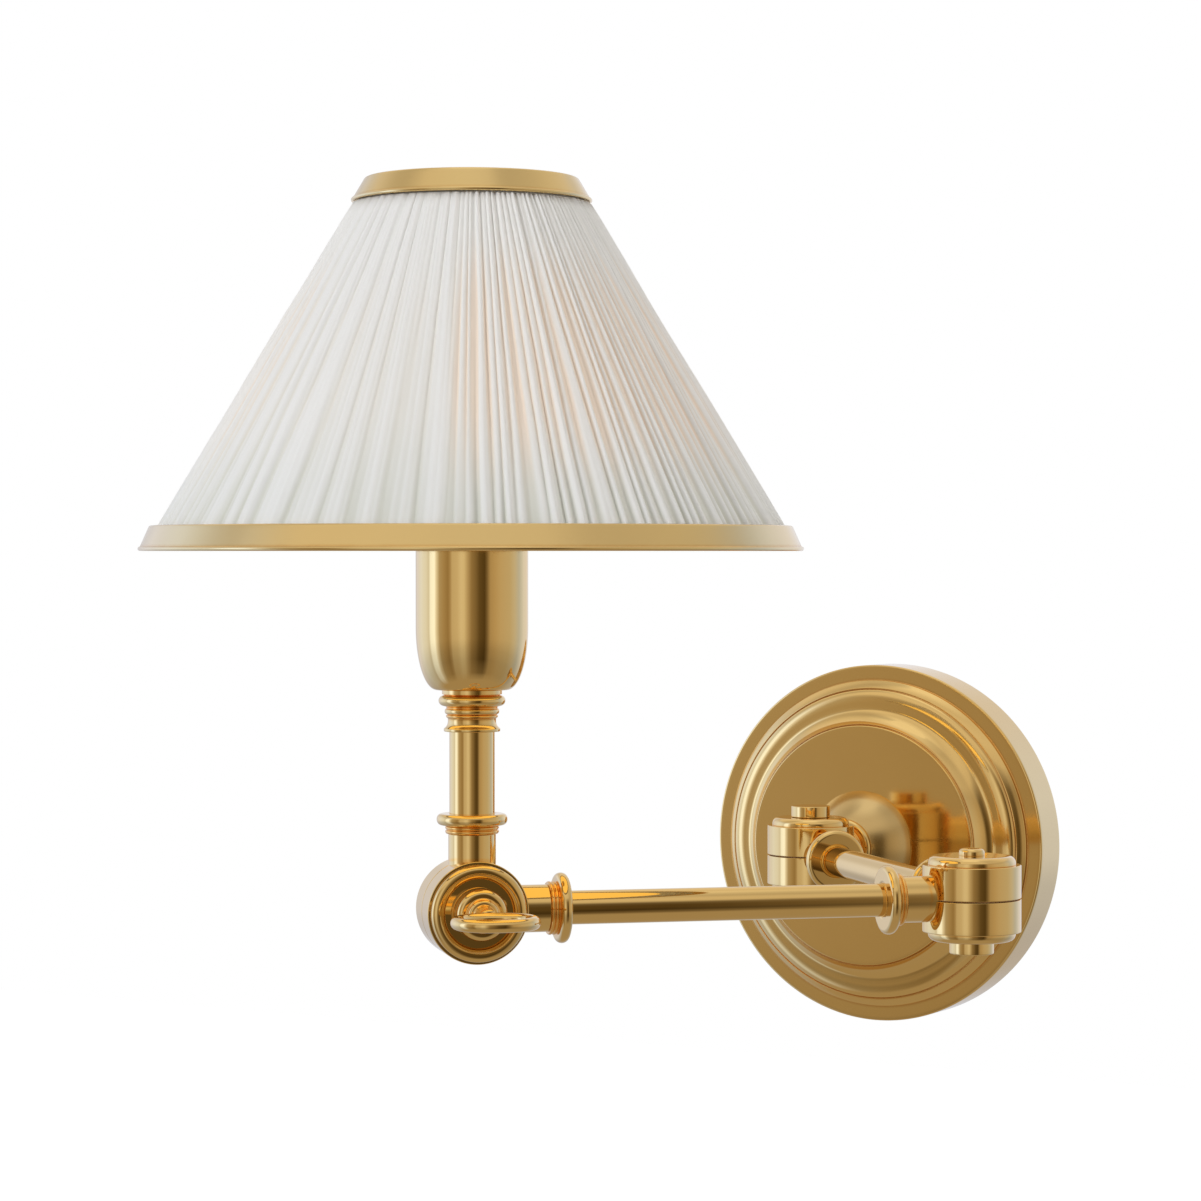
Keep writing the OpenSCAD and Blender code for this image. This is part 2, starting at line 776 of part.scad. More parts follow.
// The insulating lamp holder, on the stem's pipe, with its rim on the cup
module lamp_holder() {
    neck_d = pipe_d + 2 * holder_wall;
    neck_h = cup_round_h / 2;
    shell_hole_d = lamp_bore_d + 2 * shell_wall + 2 * thread_gap;
    color(PLASTIC) at_head() difference() {
        union() {
            translate([0, 0, holder_bottom - neck_h]) cylinder(d = neck_d, h = neck_h);
            translate([0, 0, holder_bottom]) cylinder(d = holder_d, h = holder_top - holder_bottom);
            translate([0, 0, cup_top]) cylinder(d = cup_d, h = holder_rim_h);
        }
        translate([0, 0, shell_bottom]) cylinder(d = shell_hole_d, h = CUT);
        translate([0, 0, shell_bottom - contact_h]) cylinder(d = contact_pocket_d, h = CUT);
        translate([0, 0, holder_bottom - CUT / 2]) cylinder(d = pipe_hole_d, h = CUT / 2);
    }
}

module screw_shell() {
    color(BRASS) at_head()
        ring(lamp_bore_d + 2 * shell_wall, lamp_bore_d, shell_bottom, lamp_bore_l);
}

module centre_contact() {
    color(BRASS) at_head() translate([0, 0, shell_bottom - contact_h]) {
        cylinder(d = contact_d, h = contact_h / 2);
        cylinder(d = contact_d / 2, h = contact_h);
    }
}

module shade_ring_nut() {
    color(PLASTIC) at_head()
        ring(shade_nut_d, holder_d + 2 * thread_gap, shade_nut_z, shade_nut_h);
}

// ---- Shade ----

// The welded carrier: a ring on the lamp holder, spokes, and the lower wire of the shade
module carrier_ring() {
    color(STEEL) at_head() ring(2 * carrier_out_r, 2 * carrier_in_r, holder_rim_top, carrier_t);
}

module carrier_spokes() {
    hub_z = holder_rim_top + carrier_t / 2;
    spoke_start = carrier_out_r - spoke_d / 2;
    rise = low_wire_z - hub_z;
    run = low_wire_r - spoke_start;
    color(STEEL) at_head() for (i = [0:spoke_count - 1])
        rotate([0, 0, arm_2_turn + 60 + i * 360 / spoke_count]) difference() {
            translate([spoke_start, 0, hub_z]) rotate([0, atan2(run, rise), 0])
                cylinder(d = spoke_d, h = norm([run, rise]));
            cylinder(r = carrier_out_r, h = CUT);
            wire_ring(low_wire_r, low_wire_z);
        }
}

module bottom_wire_ring() {
    color(STEEL) at_head() wire_ring(low_wire_r, low_wire_z);
}

module wire_ring(r, z) {
    rotate_extrude() translate([r, z]) circle(d = wire_d);
}

// A conical skin between two heights, set in from the fabric's outer face
module cone_skin(outer_in, inner_in, low, high) {
    rotate_extrude() polygon([
        [fabric_r(low) - inner_in, low], [fabric_r(low) - outer_in, low],
        [fabric_r(high) - outer_in, high], [fabric_r(high) - inner_in, high]
    ]);
}

module shade_lining() {
    color(PLASTIC) at_head() cone_skin(lining_out, lining_in, lining_low, lining_high);
}

module shade_fabric() {
    color(LINEN) at_head() cone_skin(0, fabric_in, lining_low + 1, top_trim_z - run_gap);
}

// The lower trim: a leaning band with a lip in to the fabric above and a lip under it below
module bottom_trim() {
    low_r = shade_bottom_d / 2;
    high_r = bottom_trim_r;
    upper_lip_r = fabric_r(bottom_trim_top - trim_t) + run_gap;
    lower_lip_r = fabric_r(lining_low) - lining_in;
    color(BRASS) at_head() rotate_extrude() {
        polygon([
            [lower_lip_r, shade_z], [low_r, shade_z], [high_r, bottom_trim_top],
            [upper_lip_r, bottom_trim_top], [upper_lip_r, bottom_trim_top - trim_t],
            [high_r - trim_t, bottom_trim_top - trim_t], [low_r - trim_t - 0.4, shade_z + trim_t],
            [lower_lip_r, shade_z + trim_t]
        ]);
        translate([low_r - roll_r, shade_z + roll_r]) circle(r = roll_r);
    }
}

// The upper trim: a leaning band with a lip in over the shade's upper edge
module top_trim() {
    high_r = shade_top_d / 2;
    upper_lip_r = top_wire_r;
    color(BRASS) at_head() rotate_extrude() {
        polygon([
            [top_trim_r - trim_t, top_trim_z], [top_trim_r, top_trim_z], [high_r, shade_top],
            [upper_lip_r, shade_top], [upper_lip_r, shade_top - trim_t],
            [high_r - trim_t, shade_top - trim_t]
        ]);
        translate([top_trim_r - roll_r, top_trim_z + roll_r]) circle(r = roll_r);
    }
}

module top_wire_ring() {
    color(STEEL) at_head() wire_ring(top_wire_r, top_wire_z);
}

backplate();
mounting_bar();
earth_screw();
centre_pipe();
pipe_locknuts();
wall_boss();
wall_collar();
wall_knuckle();
wall_knuckle_cap();
wall_pivot_bolt();
wall_pivot_nut();
wall_washer();
arm_1_inner_knuckle();
arm_1_inner_cap();
arm_1_pipes();
arm_1_collars();
arm_1_tube();
arm_1_outer_knuckle();
arm_1_outer_cap();
elbow_bolt();
elbow_nut();
elbow_washer();
arm_2_inner_knuckle();
arm_2_inner_cap();
arm_2_pipes();
arm_2_collars();
arm_2_tube();
arm_2_tilt_knuckle();
arm_2_tilt_cap();
tilt_nut();
tilt_washer();
tension_key();
key_stud();
stem_knuckle();
stem_cover();
stem_bead_ring();
stem_pipe();
stem_collar();
stem_tube();
cup_fitting();
cup_locknut();
socket_cup();
lamp_holder();
screw_shell();
centre_contact();
shade_ring_nut();
carrier_ring();
carrier_spokes();
bottom_wire_ring();
shade_lining();
shade_fabric();
bottom_trim();
top_trim();
top_wire_ring();
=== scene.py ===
import json
import math

import bpy
import numpy as np
from mathutils import Matrix, Vector


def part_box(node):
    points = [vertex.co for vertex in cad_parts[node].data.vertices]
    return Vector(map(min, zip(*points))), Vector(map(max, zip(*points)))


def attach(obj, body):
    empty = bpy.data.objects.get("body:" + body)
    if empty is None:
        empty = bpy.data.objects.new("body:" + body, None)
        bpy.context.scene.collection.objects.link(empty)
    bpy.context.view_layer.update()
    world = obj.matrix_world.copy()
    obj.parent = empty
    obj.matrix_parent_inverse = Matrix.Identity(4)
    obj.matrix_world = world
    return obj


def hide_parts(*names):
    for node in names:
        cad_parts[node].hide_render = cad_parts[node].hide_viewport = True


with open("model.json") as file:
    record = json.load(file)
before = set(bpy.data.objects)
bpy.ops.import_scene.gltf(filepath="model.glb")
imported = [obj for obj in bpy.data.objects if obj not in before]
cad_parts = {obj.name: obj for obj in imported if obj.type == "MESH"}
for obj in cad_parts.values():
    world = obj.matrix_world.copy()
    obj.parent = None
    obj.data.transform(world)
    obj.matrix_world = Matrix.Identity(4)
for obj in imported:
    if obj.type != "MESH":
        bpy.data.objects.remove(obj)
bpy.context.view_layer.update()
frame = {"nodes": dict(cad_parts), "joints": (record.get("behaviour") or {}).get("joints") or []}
scene = bpy.context.scene


# ---- Studio ----
# The camera stands at the height of the shade's lower edge and looks a little down. A pale
# floor lies far below. Cards all round stand for a room with a window, a ceiling and a dark
# corner. Only what is polished mirrors them, and the lamps light the rest.
shade_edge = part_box("bottom_trim")[0].z
pivots = {j["name"]: Vector(j["pos_m"]) for j in frame["joints"]}
eye = Vector((0.6341, -1.3511, shade_edge))
look = Vector((-0.50166, 0.86507, 0))
pitch = math.radians(0.834)


def added(name, data):
    """A new object in the scene, at the origin, that shows this data."""
    made = bpy.data.objects.new(name, data)
    scene.collection.objects.link(made)
    return made


camera = added("camera", bpy.data.cameras.new("camera"))
camera.data.sensor_width = 36
camera.data.lens = 101.9
camera.location = eye
aim = look * math.cos(pitch) - Vector((0, 0, math.sin(pitch)))
camera.rotation_euler = aim.to_track_quat("-Z", "Y").to_euler()
scene.camera = camera
scene.view_settings.view_transform = "Standard"


class Wire:
    """An output of a node. Sums, products and powers of wires add the Math nodes they need."""

    def __init__(self, tree, socket=None):
        self.tree, self.socket = tree, socket

    def node(self, kind, settings=None, sockets=None, output=0):
        """Adds a node from its type, its settings, and the values or links of its sockets."""
        made = self.tree.nodes.new(kind)
        for name, value in (settings or {}).items():
            setattr(made, name, value)
        for name, value in (sockets or {}).items():
            if isinstance(value, Wire):
                self.tree.links.new(value.socket, made.inputs[name])
            else:
                made.inputs[name].default_value = value
        return Wire(self.tree, made.outputs[output] if made.outputs else None)

    def math(self, operation, *values):
        return self.node("ShaderNodeMath", {"operation": operation}, dict(enumerate(values)))

    def __add__(self, other):
        return self.math("ADD", self, other)

    def __sub__(self, other):
        return self.math("SUBTRACT", self, other)

    def __rsub__(self, other):
        return self.math("SUBTRACT", other, self)

    def __mul__(self, other):
        return self.math("MULTIPLY", self, other)

    def __truediv__(self, other):
        return self.math("DIVIDE", self, other)

    def __pow__(self, other):
        return self.math("POWER", self, other)

    __radd__, __rmul__ = __add__, __mul__

    def between(self, low, high):
        """0 below low, 1 above high, and a smooth rise between them."""
        return self.node("ShaderNodeMapRange", {"interpolation_type": "SMOOTHSTEP"},
                         {"Value": self, "From Min": low, "From Max": high})

    def tint(self, a, b):
        """The colour a where this wire is 0, and b where it is 1."""
        colours = [c if isinstance(c, Wire) else (*c, 1) for c in (a, b)]
        return self.node("ShaderNodeMix", {"data_type": "RGBA"},
                         {0: self, 6: colours[0], 7: colours[1]}, output=2)


def seen_as_background(tree):
    """1 for the rays that show the background: straight, mirrored and through glass."""
    outputs = Wire(tree).node("ShaderNodeLightPath").socket.node.outputs
    camera_ray, glossy, through = (Wire(tree, outputs[n]) for n in
                                   ("Is Camera Ray", "Is Glossy Ray", "Is Transmission Ray"))
    return glossy.math("MAXIMUM", camera_ray, glossy.math("MAXIMUM", glossy, through))


def new_tree(name):
    """A new material and the start of its node tree."""
    material = bpy.data.materials.new(name)
    material.use_nodes = True
    material.node_tree.nodes.clear()
    return material, Wire(material.node_tree)


room_light = 0.44
world = bpy.data.worlds.new("studio")
world.use_nodes = True
scene.world = world
world.node_tree.nodes.clear()
seen = seen_as_background(world.node_tree)
sky = seen.node("ShaderNodeBackground", None, {
    "Color": (1, 1, 1, 1), "Strength": room_light + seen * (1 - room_light)})
sky.node("ShaderNodeOutputWorld", None, {"Surface": sky})


def staged(name, corners, faces, paint):
    """A floor or card that isn't part of the light, from its corners, faces and paint."""
    mesh = bpy.data.meshes.new(name)
    mesh.from_pydata(corners, [], faces)
    mesh.materials.append(paint)
    card = added(name, mesh)
    return card


# The floor is white where it is seen, and its share of paint keeps the light's shadow
floor_z, floor_size = -1.6, 9.0
floor_paint, start = new_tree("pale_floor")
white_share = seen_as_background(start.tree) * 0.6
grain = start.node("ShaderNodeTexNoise", None, {"Scale": 3.0, "Detail": 4.0})
paint = start.node("ShaderNodeBsdfDiffuse", None,
                   {"Color": grain.tint((0.88, 0.88, 0.88), (0.92, 0.92, 0.92))})
white = start.node("ShaderNodeEmission", None, {"Color": (1, 1, 1, 1), "Strength": 1.6})
start.node("ShaderNodeOutputMaterial", None,
           {"Surface": start.node("ShaderNodeMixShader", None, {0: white_share, 1: paint, 2: white})})
staged("floor", [(x * floor_size, y * floor_size, floor_z) for x, y in ((-1, -1), (1, -1), (1, 1), (-1, 1))],
       [(0, 1, 2, 3)], floor_paint)

# Brightness and coolness of the cards at eye level, by the angle round the light. 0 is the
# camera's side and minus is to its left: window, wall, strip light, dark room, flag, wall
head = pivots["head_tilt"]
to_camera = math.atan2(eye.y - head.y, eye.x - head.x)
eye_level = {
    -180: (0.88, 0.12), -166: (0.74, 0.2), -158: (0.74, 0.28), -150: (0.88, 0.5), -140: (0.88, 0.75),
    -127: (0.95, 1.0), -108: (0.92, 0.9), -99: (0.82, 0.7), -94: (1.2, 1.1), -83: (1.3, 1.1),
    -78: (0.95, 0.5), -70: (0.52, -0.15), -60: (0.46, -0.38), -50: (0.37, -0.5), -45: (0.48, -0.35),
    -41: (0.66, -0.12), -30: (0.71, -0.08), -22: (0.82, 0.05), -16: (0.8, 0), -9: (0.57, -0.2),
    -1: (0.34, -0.45), 8: (0.24, -0.5), 15: (0.14, -0.62), 26: (0.1, -0.7), 31: (0.22, -0.5),
    38: (0.5, -0.36), 48: (0.57, -0.33), 60: (0.62, -0.2), 84: (0.63, -0.03), 98: (0.66, 0.3),
    112: (0.6, 0.9), 120: (0.68, 0.95), 132: (0.84, 0.7), 150: (0.88, 0.25), 180: (0.88, 0.12)}
# Brightness of the ceiling by the same angle, and for each height of the cards the share of
# the eye level, the share of the ceiling, a plain brightness, and how cool the last two are
ceiling = {-180: 0.9, -132: 0.8, -112: 0.6, -94: 0.6, -84: 0.7, -70: 0.84, -30: 0.8, 12: 0.78,
           36: 0.76, 42: 0.63, 60: 0.62, 92: 0.66, 110: 0.74, 180: 0.9}
heights = {-90: (0, 0, 0.42, -0.3), -50: (0, 0, 0.42, -0.3), -36: (0.4, 0, 0.12, -0.4),
           -21: (0.62, 0, 0, 0), -13: (0.74, 0, 0, 0), -6: (0.93, 0, 0, 0), 8: (1, 0, 0, 0),
           22: (0.8, 0.1, 0, -0.15), 29: (0.4, 0.45, 0, -0.12), 36: (0.1, 0.9, 0, -0.12),
           47: (0, 1, 0, -0.1), 62: (0, 0.93, 0, -0.1), 78: (0, 1.2, 0, 0)}
card_distance, card_depth = 4.0, 1.5
corners, glow = [], []


def cool(level, coolness):
    """The colour of a light of this level: warm below 0, as by a lamp, cool above, as by day."""
    return level * np.array((1, 1 + coolness * (0.25 if coolness > 0 else 0.42), 1 + coolness))


def pointing(turn, height):
    """The direction at an angle round the light and a height above its level, in degrees."""
    az, el = to_camera + math.radians(turn), math.radians(height)
    return Vector((math.cos(az) * math.cos(el), math.sin(az) * math.cos(el), math.sin(el)))


def only_mirrored(card):
    """Hides a card from all but the rays that a polished piece mirrors."""
    card.visible_camera = card.visible_diffuse = card.visible_transmission = card.visible_shadow = False


for turn, (level, tone) in eye_level.items():
    overhead = np.interp(turn, list(ceiling), list(ceiling.values()))
    for height, (share, share_up, plain, plain_tone) in heights.items():
        el = math.radians(height)
        far = min(card_distance / max(math.cos(el), 0.05), card_depth / max(math.sin(-el), 0.01),
                  2 * card_distance)
        corners.append(head + far * pointing(turn, height))
        glow.append((*(share * cool(level, tone) + cool(plain + share_up * overhead, plain_tone)), 1))
card_paint, start = new_tree("card_glow")
start.node("ShaderNodeOutputMaterial", None, {"Surface": start.node(
    "ShaderNodeEmission", None, {"Color": start.node("ShaderNodeAttribute", {"attribute_name": "glow"})})})
rows = len(heights)
cards = staged("reflection_cards", corners, [
    (c * rows + r, c * rows + r + 1, (c + 1) * rows + r + 1, (c + 1) * rows + r)
    for c in range(len(eye_level) - 1) for r in range(rows - 1)], card_paint)
glow_data = cards.data.attributes.new("glow", "FLOAT_COLOR", "POINT").data
glow_data.foreach_set("color", np.array(glow).ravel())
only_mirrored(cards)

# The inside of a lit shade shines warm. A card stands for that in the shade's mouth. It is
# seen from below, by what is at least a hand's width off, so the cup may lean into it
mouth_radius, mouth_sides = 0.098, 48
mouth_z = shade_edge + 0.003
mouth_paint, start = new_tree("mouth_glow")
warm_light = start.node("ShaderNodeEmission", None, {"Color": (1, 0.74, 0.27, 1), "Strength": 1.25})
seen_from_below = start.node("ShaderNodeNewGeometry", None, None, 6)
seen_from_afar = start.node("ShaderNodeLightPath", None, None, "Ray Length").between(0.05, 0.08)
start.node("ShaderNodeOutputMaterial", None, {"Surface": start.node("ShaderNodeMixShader", None, {
    0: seen_from_below * seen_from_afar, 1: start.node("ShaderNodeBsdfTransparent"), 2: warm_light})})
only_mirrored(staged("mouth_card", [
    (head.x + mouth_radius * math.cos(a), head.y + mouth_radius * math.sin(a), mouth_z)
    for a in np.arange(mouth_sides) * 2 * math.pi / mouth_sides], [tuple(range(mouth_sides))], mouth_paint))

# Lamps: the window's daylight from the left, warm light from the right, a soft top light
for name, turn, height, distance, size, power, colour in (
        ("window_light", -54, 24, 2.4, 0.8, 23, (0.96, 0.98, 1.0)),
        ("warm_fill", 70, 18, 2.6, 1.6, 18, (1.0, 0.94, 0.86)),
        ("top_light", -20, 70, 2.2, 1.6, 4, (1.0, 0.99, 0.97))):
    lamp = bpy.data.lights.new(name, "AREA")
    lamp.size, lamp.energy, lamp.color = size, power, colour
    holder = added(name, lamp)
    away = pointing(turn, height)
    holder.location = head + away * distance
    holder.rotation_euler = away.to_track_quat("Z", "Y").to_euler()
    holder.visible_glossy = holder.visible_camera = False


# ---- Mounting bar, earth screw, centre pipe and its nuts ----
# A punched steel bar, zinc plated, is screwed to the wall box. The threaded pipe through
# its middle carries the plate and the arm, between two nuts. A green screw earths the bar.
mm = 0.001


def new_finish(name):
    """A new material, the start of its tree, and the place on the piece that wears it."""
    material, start = new_tree(name)
    return material, start, start.node("ShaderNodeTexCoord", None, None, 3)


def noise(place, scale, detail, **more):
    """Smooth noise with this many grains to a metre, and finer ones in them."""
    return place.node("ShaderNodeTexNoise", None, {"Vector": place, "Scale": scale, "Detail": detail, **more})


def streaks(place, scales, detail=3.0):
    """Noise with its own number of grains to a metre along each axis."""
    return noise(place.node("ShaderNodeMapping", None, {"Vector": place, "Scale": scales}), 1.0, detail)


def bumps(height, strength, depth=0.1):
    """The normal of a surface that rises with this height, by about this many millimetres."""
    return height.node("ShaderNodeBump", None, {
        "Strength": strength, "Distance": depth * mm, "Height": height})


def finish(start, **sockets):
    """The metal, plastic or paint of a piece, and its material's output."""
    shader = start.node("ShaderNodeBsdfPrincipled", None,
                        {name.replace("_", " "): value for name, value in sockets.items()})
    start.node("ShaderNodeOutputMaterial", None, {"Surface": shader})


def dress(material, *nodes):
    """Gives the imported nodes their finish."""
    for name in nodes:
        mesh = frame["nodes"][name].data
        mesh.materials.clear()
        mesh.materials.append(material)


zinc_plate, start, place = new_finish("zinc_plate")
cloud = noise(place, 90.0, 5.0)
scratch = streaks(place, (60, 900, 900))
finish(start, Base_Color=cloud.tint((0.56, 0.56, 0.54), (0.72, 0.70, 0.65)), Metallic=1.0,
       Roughness=0.26 + cloud * 0.12 + scratch * 0.1, Normal=bumps(scratch, 0.25, 0.2))
dress(zinc_plate, "mounting_bar", "centre_pipe", "pipe_locknuts", "arm_1_pipes", "arm_2_pipes",
      "key_stud", "stem_pipe", "cup_locknut")

green_lacquer, start, place = new_finish("green_lacquer")
cloud = noise(place, 400.0, 4.0)
finish(start, Base_Color=cloud.tint((0.03, 0.20, 0.08), (0.06, 0.30, 0.13)), Metallic=0.6,
       Roughness=0.3 + cloud * 0.2, Normal=bumps(cloud, 0.2))
dress(green_lacquer, "earth_screw")


def new_growth(name, lengths, counts=()):
    """A new geometry tree, and the identifiers and wires of its named sizes and finish."""
    tree = bpy.data.node_groups.new(name, "GeometryNodeTree")
    kinds = {**dict.fromkeys(lengths, "NodeSocketFloat"), **dict.fromkeys(counts, "NodeSocketInt"),
             "Finish": "NodeSocketMaterial"}
    sockets = {key: tree.interface.new_socket(name=key, in_out="INPUT", socket_type=kind).identifier
               for key, kind in kinds.items()}
    tree.interface.new_socket(name="Geometry", in_out="OUTPUT", socket_type="NodeSocketGeometry")
    given = Wire(tree).node("NodeGroupInput").socket.node.outputs
    return tree, sockets, {key: Wire(tree, given[key]) for key in kinds}


def end_growth(shape, size):
    """Ends a geometry tree with real faces that wear its finish."""
    real = shape.node("GeometryNodeRealizeInstances", None, {"Geometry": shape})
    shape.node("NodeGroupOutput", None, {0: shape.node(
        "GeometryNodeSetMaterial", None, {"Geometry": real, "Material": size["Finish"]})})


def grown(name, growth, values, matrix):
    """Runs a geometry tree with these sizes and puts the plain piece that it gives in place."""
    seed = added(name + "_seed", bpy.data.meshes.new(name + "_seed"))
    modifier = seed.modifiers.new("grow", "NODES")
    modifier.node_group, sockets = growth
    for key, value in values.items():
        modifier[sockets[key]] = value
    mesh = bpy.data.meshes.new_from_object(seed.evaluated_get(bpy.context.evaluated_depsgraph_get()))
    seed.modifiers.remove(modifier)
    bpy.data.objects.remove(seed)
    mesh.name = name
    mesh.transform(matrix)
    return added(name, mesh)


def thread_growth():
    """A ridge that winds round the Z axis, as a screw thread does."""
    tree, sockets, size = new_growth("thread", ("Radius", "Pitch", "Length", "Ridge"))
    start = Wire(tree)
    path = start.node("GeometryNodeCurveSpiral", None, {
        "Resolution": 28, "Rotations": size["Length"] / size["Pitch"], "Start Radius": size["Radius"],
        "End Radius": size["Radius"], "Height": size["Length"]})
    section = start.node("GeometryNodeCurvePrimitiveCircle", None, {"Resolution": 4, "Radius": size["Ridge"]})
    solid = start.node("GeometryNodeCurveToMesh", None,
                       {"Curve": path, "Profile Curve": section, "Fill Caps": True})
    flat = start.node("GeometryNodeSetShadeSmooth", None, {"Geometry": solid, "Shade Smooth": False})
    end_growth(flat, size)
    return tree, sockets


pipe_low, pipe_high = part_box("centre_pipe")
pipe_radius = (pipe_high.z - pipe_low.z) / 2
bar_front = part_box("mounting_bar")[0].y
bar_nut = 4 * mm                                       # past the bar's nut, where the thread starts
out_of_wall = Matrix.Rotation(math.radians(90), 4, "X")
pipe_thread = grown("centre_pipe_thread", thread_growth(), {
    "Radius": pipe_radius - 0.1 * mm, "Pitch": 0.94 * mm, "Ridge": 0.24 * mm, "Finish": zinc_plate,
    "Length": bar_front - bar_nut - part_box("pipe_locknuts")[0].y - 2 * mm},
    out_of_wall @ Matrix.Translation((0, 0, -bar_front + bar_nut)))
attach(pipe_thread, "wall")


# ---- Wall plate ----
# A round plate spun from brass sheet: a plain rim, a rounded moulding with a fine groove, a
# hollow one and a flat middle. It is polished on the lathe, so fine lines run round it, and
# then lacquered.
def eased(points, steps=4):
    """A profile whose corners are rounded. A point is a radius, a height and a rounding."""
    path = []
    for i, (r, z, rounding) in enumerate(points):
        here = np.array((r, z), float)
        if not rounding:
            path.append(here)
            continue
        ends = []
        for other in (points[i - 1], points[(i + 1) % len(points)]):
            way = np.array(other[:2], float) - here
            ends.append(here + way * min(rounding / np.linalg.norm(way), 0.5))
        for t in np.linspace(0, 1, steps + 1):
            path.append((1 - t) ** 2 * ends[0] + 2 * t * (1 - t) * here + t * t * ends[1])
    return path


def swell(r, z, r_end, z_end, steps=9, cove=0.0):
    """A moulding's points: a quarter round that starts upright at cove 0, a hollow at cove 1."""
    across, rise = r - r_end, z_end - z
    return [(r - across * ((1 - cove) * (1 - math.cos(a)) + cove * math.sin(a)),
             z + rise * ((1 - cove) * math.sin(a) + cove * (1 - math.cos(a))), 0)
            for a in np.linspace(0, math.pi / 2, steps)]


def bead(r, z, depth, height, steps=9):
    """The points of a half round that bulges out from radius r, from z up by height."""
    return [(r + depth * math.sin(a), z + height / 2 * (1 - math.cos(a)), 0)
            for a in np.linspace(0.12, math.pi - 0.12, steps)]


def turned(path, sides=96, longest=1.3):
    """A closed profile turned round Z: vertices, normals, faces, lathe lines and hollows."""
    points = [np.array(p, float) for p in path]
    solid = points[0][0] == 0
    fine = []
    for a, b in zip(points, points[1:] + points[:1]):
        cuts = max(1, math.ceil(np.linalg.norm(b - a) / longest))
        if solid and a[0] == b[0] == 0:
            cuts = 1
        fine += [a + (b - a) * k / cuts for k in range(cuts)]
    profile = np.array([p for k, p in enumerate(fine) if np.linalg.norm(p - fine[k - 1]) > 1e-6])
    count = len(profile)
    step = np.roll(profile, -1, 0) - profile
    reach = np.linalg.norm(step, axis=1)
    side = np.stack([step[:, 1], -step[:, 0]], 1)          # normal times length
    if solid:
        side[-1] = 0
    normal = side + np.roll(side, 1, 0)
    normal /= np.linalg.norm(normal, axis=1)[:, None]
    heading = np.unwrap(np.arctan2(step[:, 1], step[:, 0]))
    bend = (heading - np.roll(heading, 1) + math.pi) % (2 * math.pi) - math.pi
    if solid:
        bend[0] = bend[-1] = 0
    along = np.concatenate([[0], np.cumsum(reach)[:-1]])
    gap = np.abs(along[:, None] - along[None, :])
    hollow = np.clip((np.exp(-(gap / 0.7) ** 2) * np.clip(-bend, 0, 1.6)[None, :]).sum(1), 0, 1)
    angle = np.arange(sides) * 2 * math.pi / sides
    ring = np.stack([np.cos(angle), np.sin(angle)], 1)
    spots, lines, faces, first = [], [], [], []
    for k in range(count):
        first.append(len(spots))
        pole = profile[k][0] == 0
        for c, s in (ring[:1] if pole else ring):
            r, z = profile[k]
            spots.append((r * c, r * s, z, normal[k][0] * c, normal[k][0] * s, normal[k][1]))
            lines.append((0.5 * c, 0.5 * s, along[k], hollow[k]))
    for k in range(count - 1 if solid else count):
        low, high = k, (k + 1) % count
        low_pole, high_pole = profile[low][0] == 0, profile[high][0] == 0
        for j in range(sides):
            m = (j + 1) % sides
            a, b = first[low] + (0 if low_pole else j), first[low] + (0 if low_pole else m)
            c, d = first[high] + (0 if high_pole else m), first[high] + (0 if high_pole else j)
            faces.append([a, b, c, d] if not (low_pole or high_pole) else
                         [a, c, d] if low_pole else [a, b, c])
    spots, lines = np.array(spots), np.array(lines)
    return spots[:, :3], spots[:, 3:], faces, lines


def placed(shape, origin=(0, 0, 0), x=(1, 0, 0), z=(0, 0, 1)):
    """Puts a shape, drawn in millimetres, with its X and Z along the given directions."""
    x, z = Vector(x).normalized(), Vector(z).normalized()
    turn = np.array(Matrix((x, z.cross(x), z)).transposed())
    spots, normals, faces, lines = shape
    return spots * mm @ turn.T + np.array(origin), normals @ turn.T, faces, lines


def brass_finish(name, polish, lines_depth, colour=(0.83, 0.56, 0.21), tarnish=(0.88, 0.46, 0.11)):
    """Lacquered brass: lathe lines, faint clouds in the colour, darker in the hollows."""
    material, start, place = new_finish(name)
    lathe = start.node("ShaderNodeAttribute", {"attribute_name": "lathe"}, None, 1)
    hollow = start.node("ShaderNodeAttribute", {"attribute_name": "hollow"}, None, 2)
    cloud, wave, smear = noise(place, 35.0, 3.0), noise(place, 110.0, 1.0), noise(place, 260.0, 4.0)
    line = noise(lathe, 5.0, 4.0, Roughness=0.7)
    clean = cloud.tint(tuple(c * 0.97 for c in colour), tuple(min(1, c * 1.03) for c in colour))
    aged = (hollow * (0.55 + smear * 0.6)).between(0.15, 1.1)
    finish(start, Base_Color=aged.tint(clean, tarnish), Metallic=1.0,
           Roughness=polish + smear.between(0.45, 0.8) * 0.03 + line * 0.02 + aged * 0.06,
           Normal=bumps(wave * 0.5 + line * lines_depth, 0.12))
    return material


polished_brass = brass_finish("polished_brass", 0.03, 0.06)
spun_brass = brass_finish("spun_brass", 0.085, 0.14, tarnish=(0.74, 0.42, 0.13))


def make(name, body, node, shapes, material=polished_brass):
    """Joins placed shapes into one piece that stands for its node and rides on its body."""
    spots = np.concatenate([s[0] for s in shapes])
    normals = np.concatenate([s[1] for s in shapes])
    lines = np.concatenate([s[3] for s in shapes])
    faces, base = [], 0
    for s in shapes:
        faces += [[base + v for v in face] for face in s[2]]
        base += len(s[0])
    mesh = bpy.data.meshes.new(name)
    mesh.from_pydata(spots.tolist(), [], faces)
    mesh.polygons.foreach_set("use_smooth", [True] * len(mesh.polygons))
    mesh.attributes.new("lathe", "FLOAT_VECTOR", "POINT").data.foreach_set("vector", lines[:, :3].ravel())
    mesh.attributes.new("hollow", "FLOAT", "POINT").data.foreach_set("value", lines[:, 3].copy())
    mesh.normals_split_custom_set_from_vertices(normals.tolist())
    mesh.materials.append(material)
    piece = added(name, mesh)
    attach(piece, body)
    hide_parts(node)


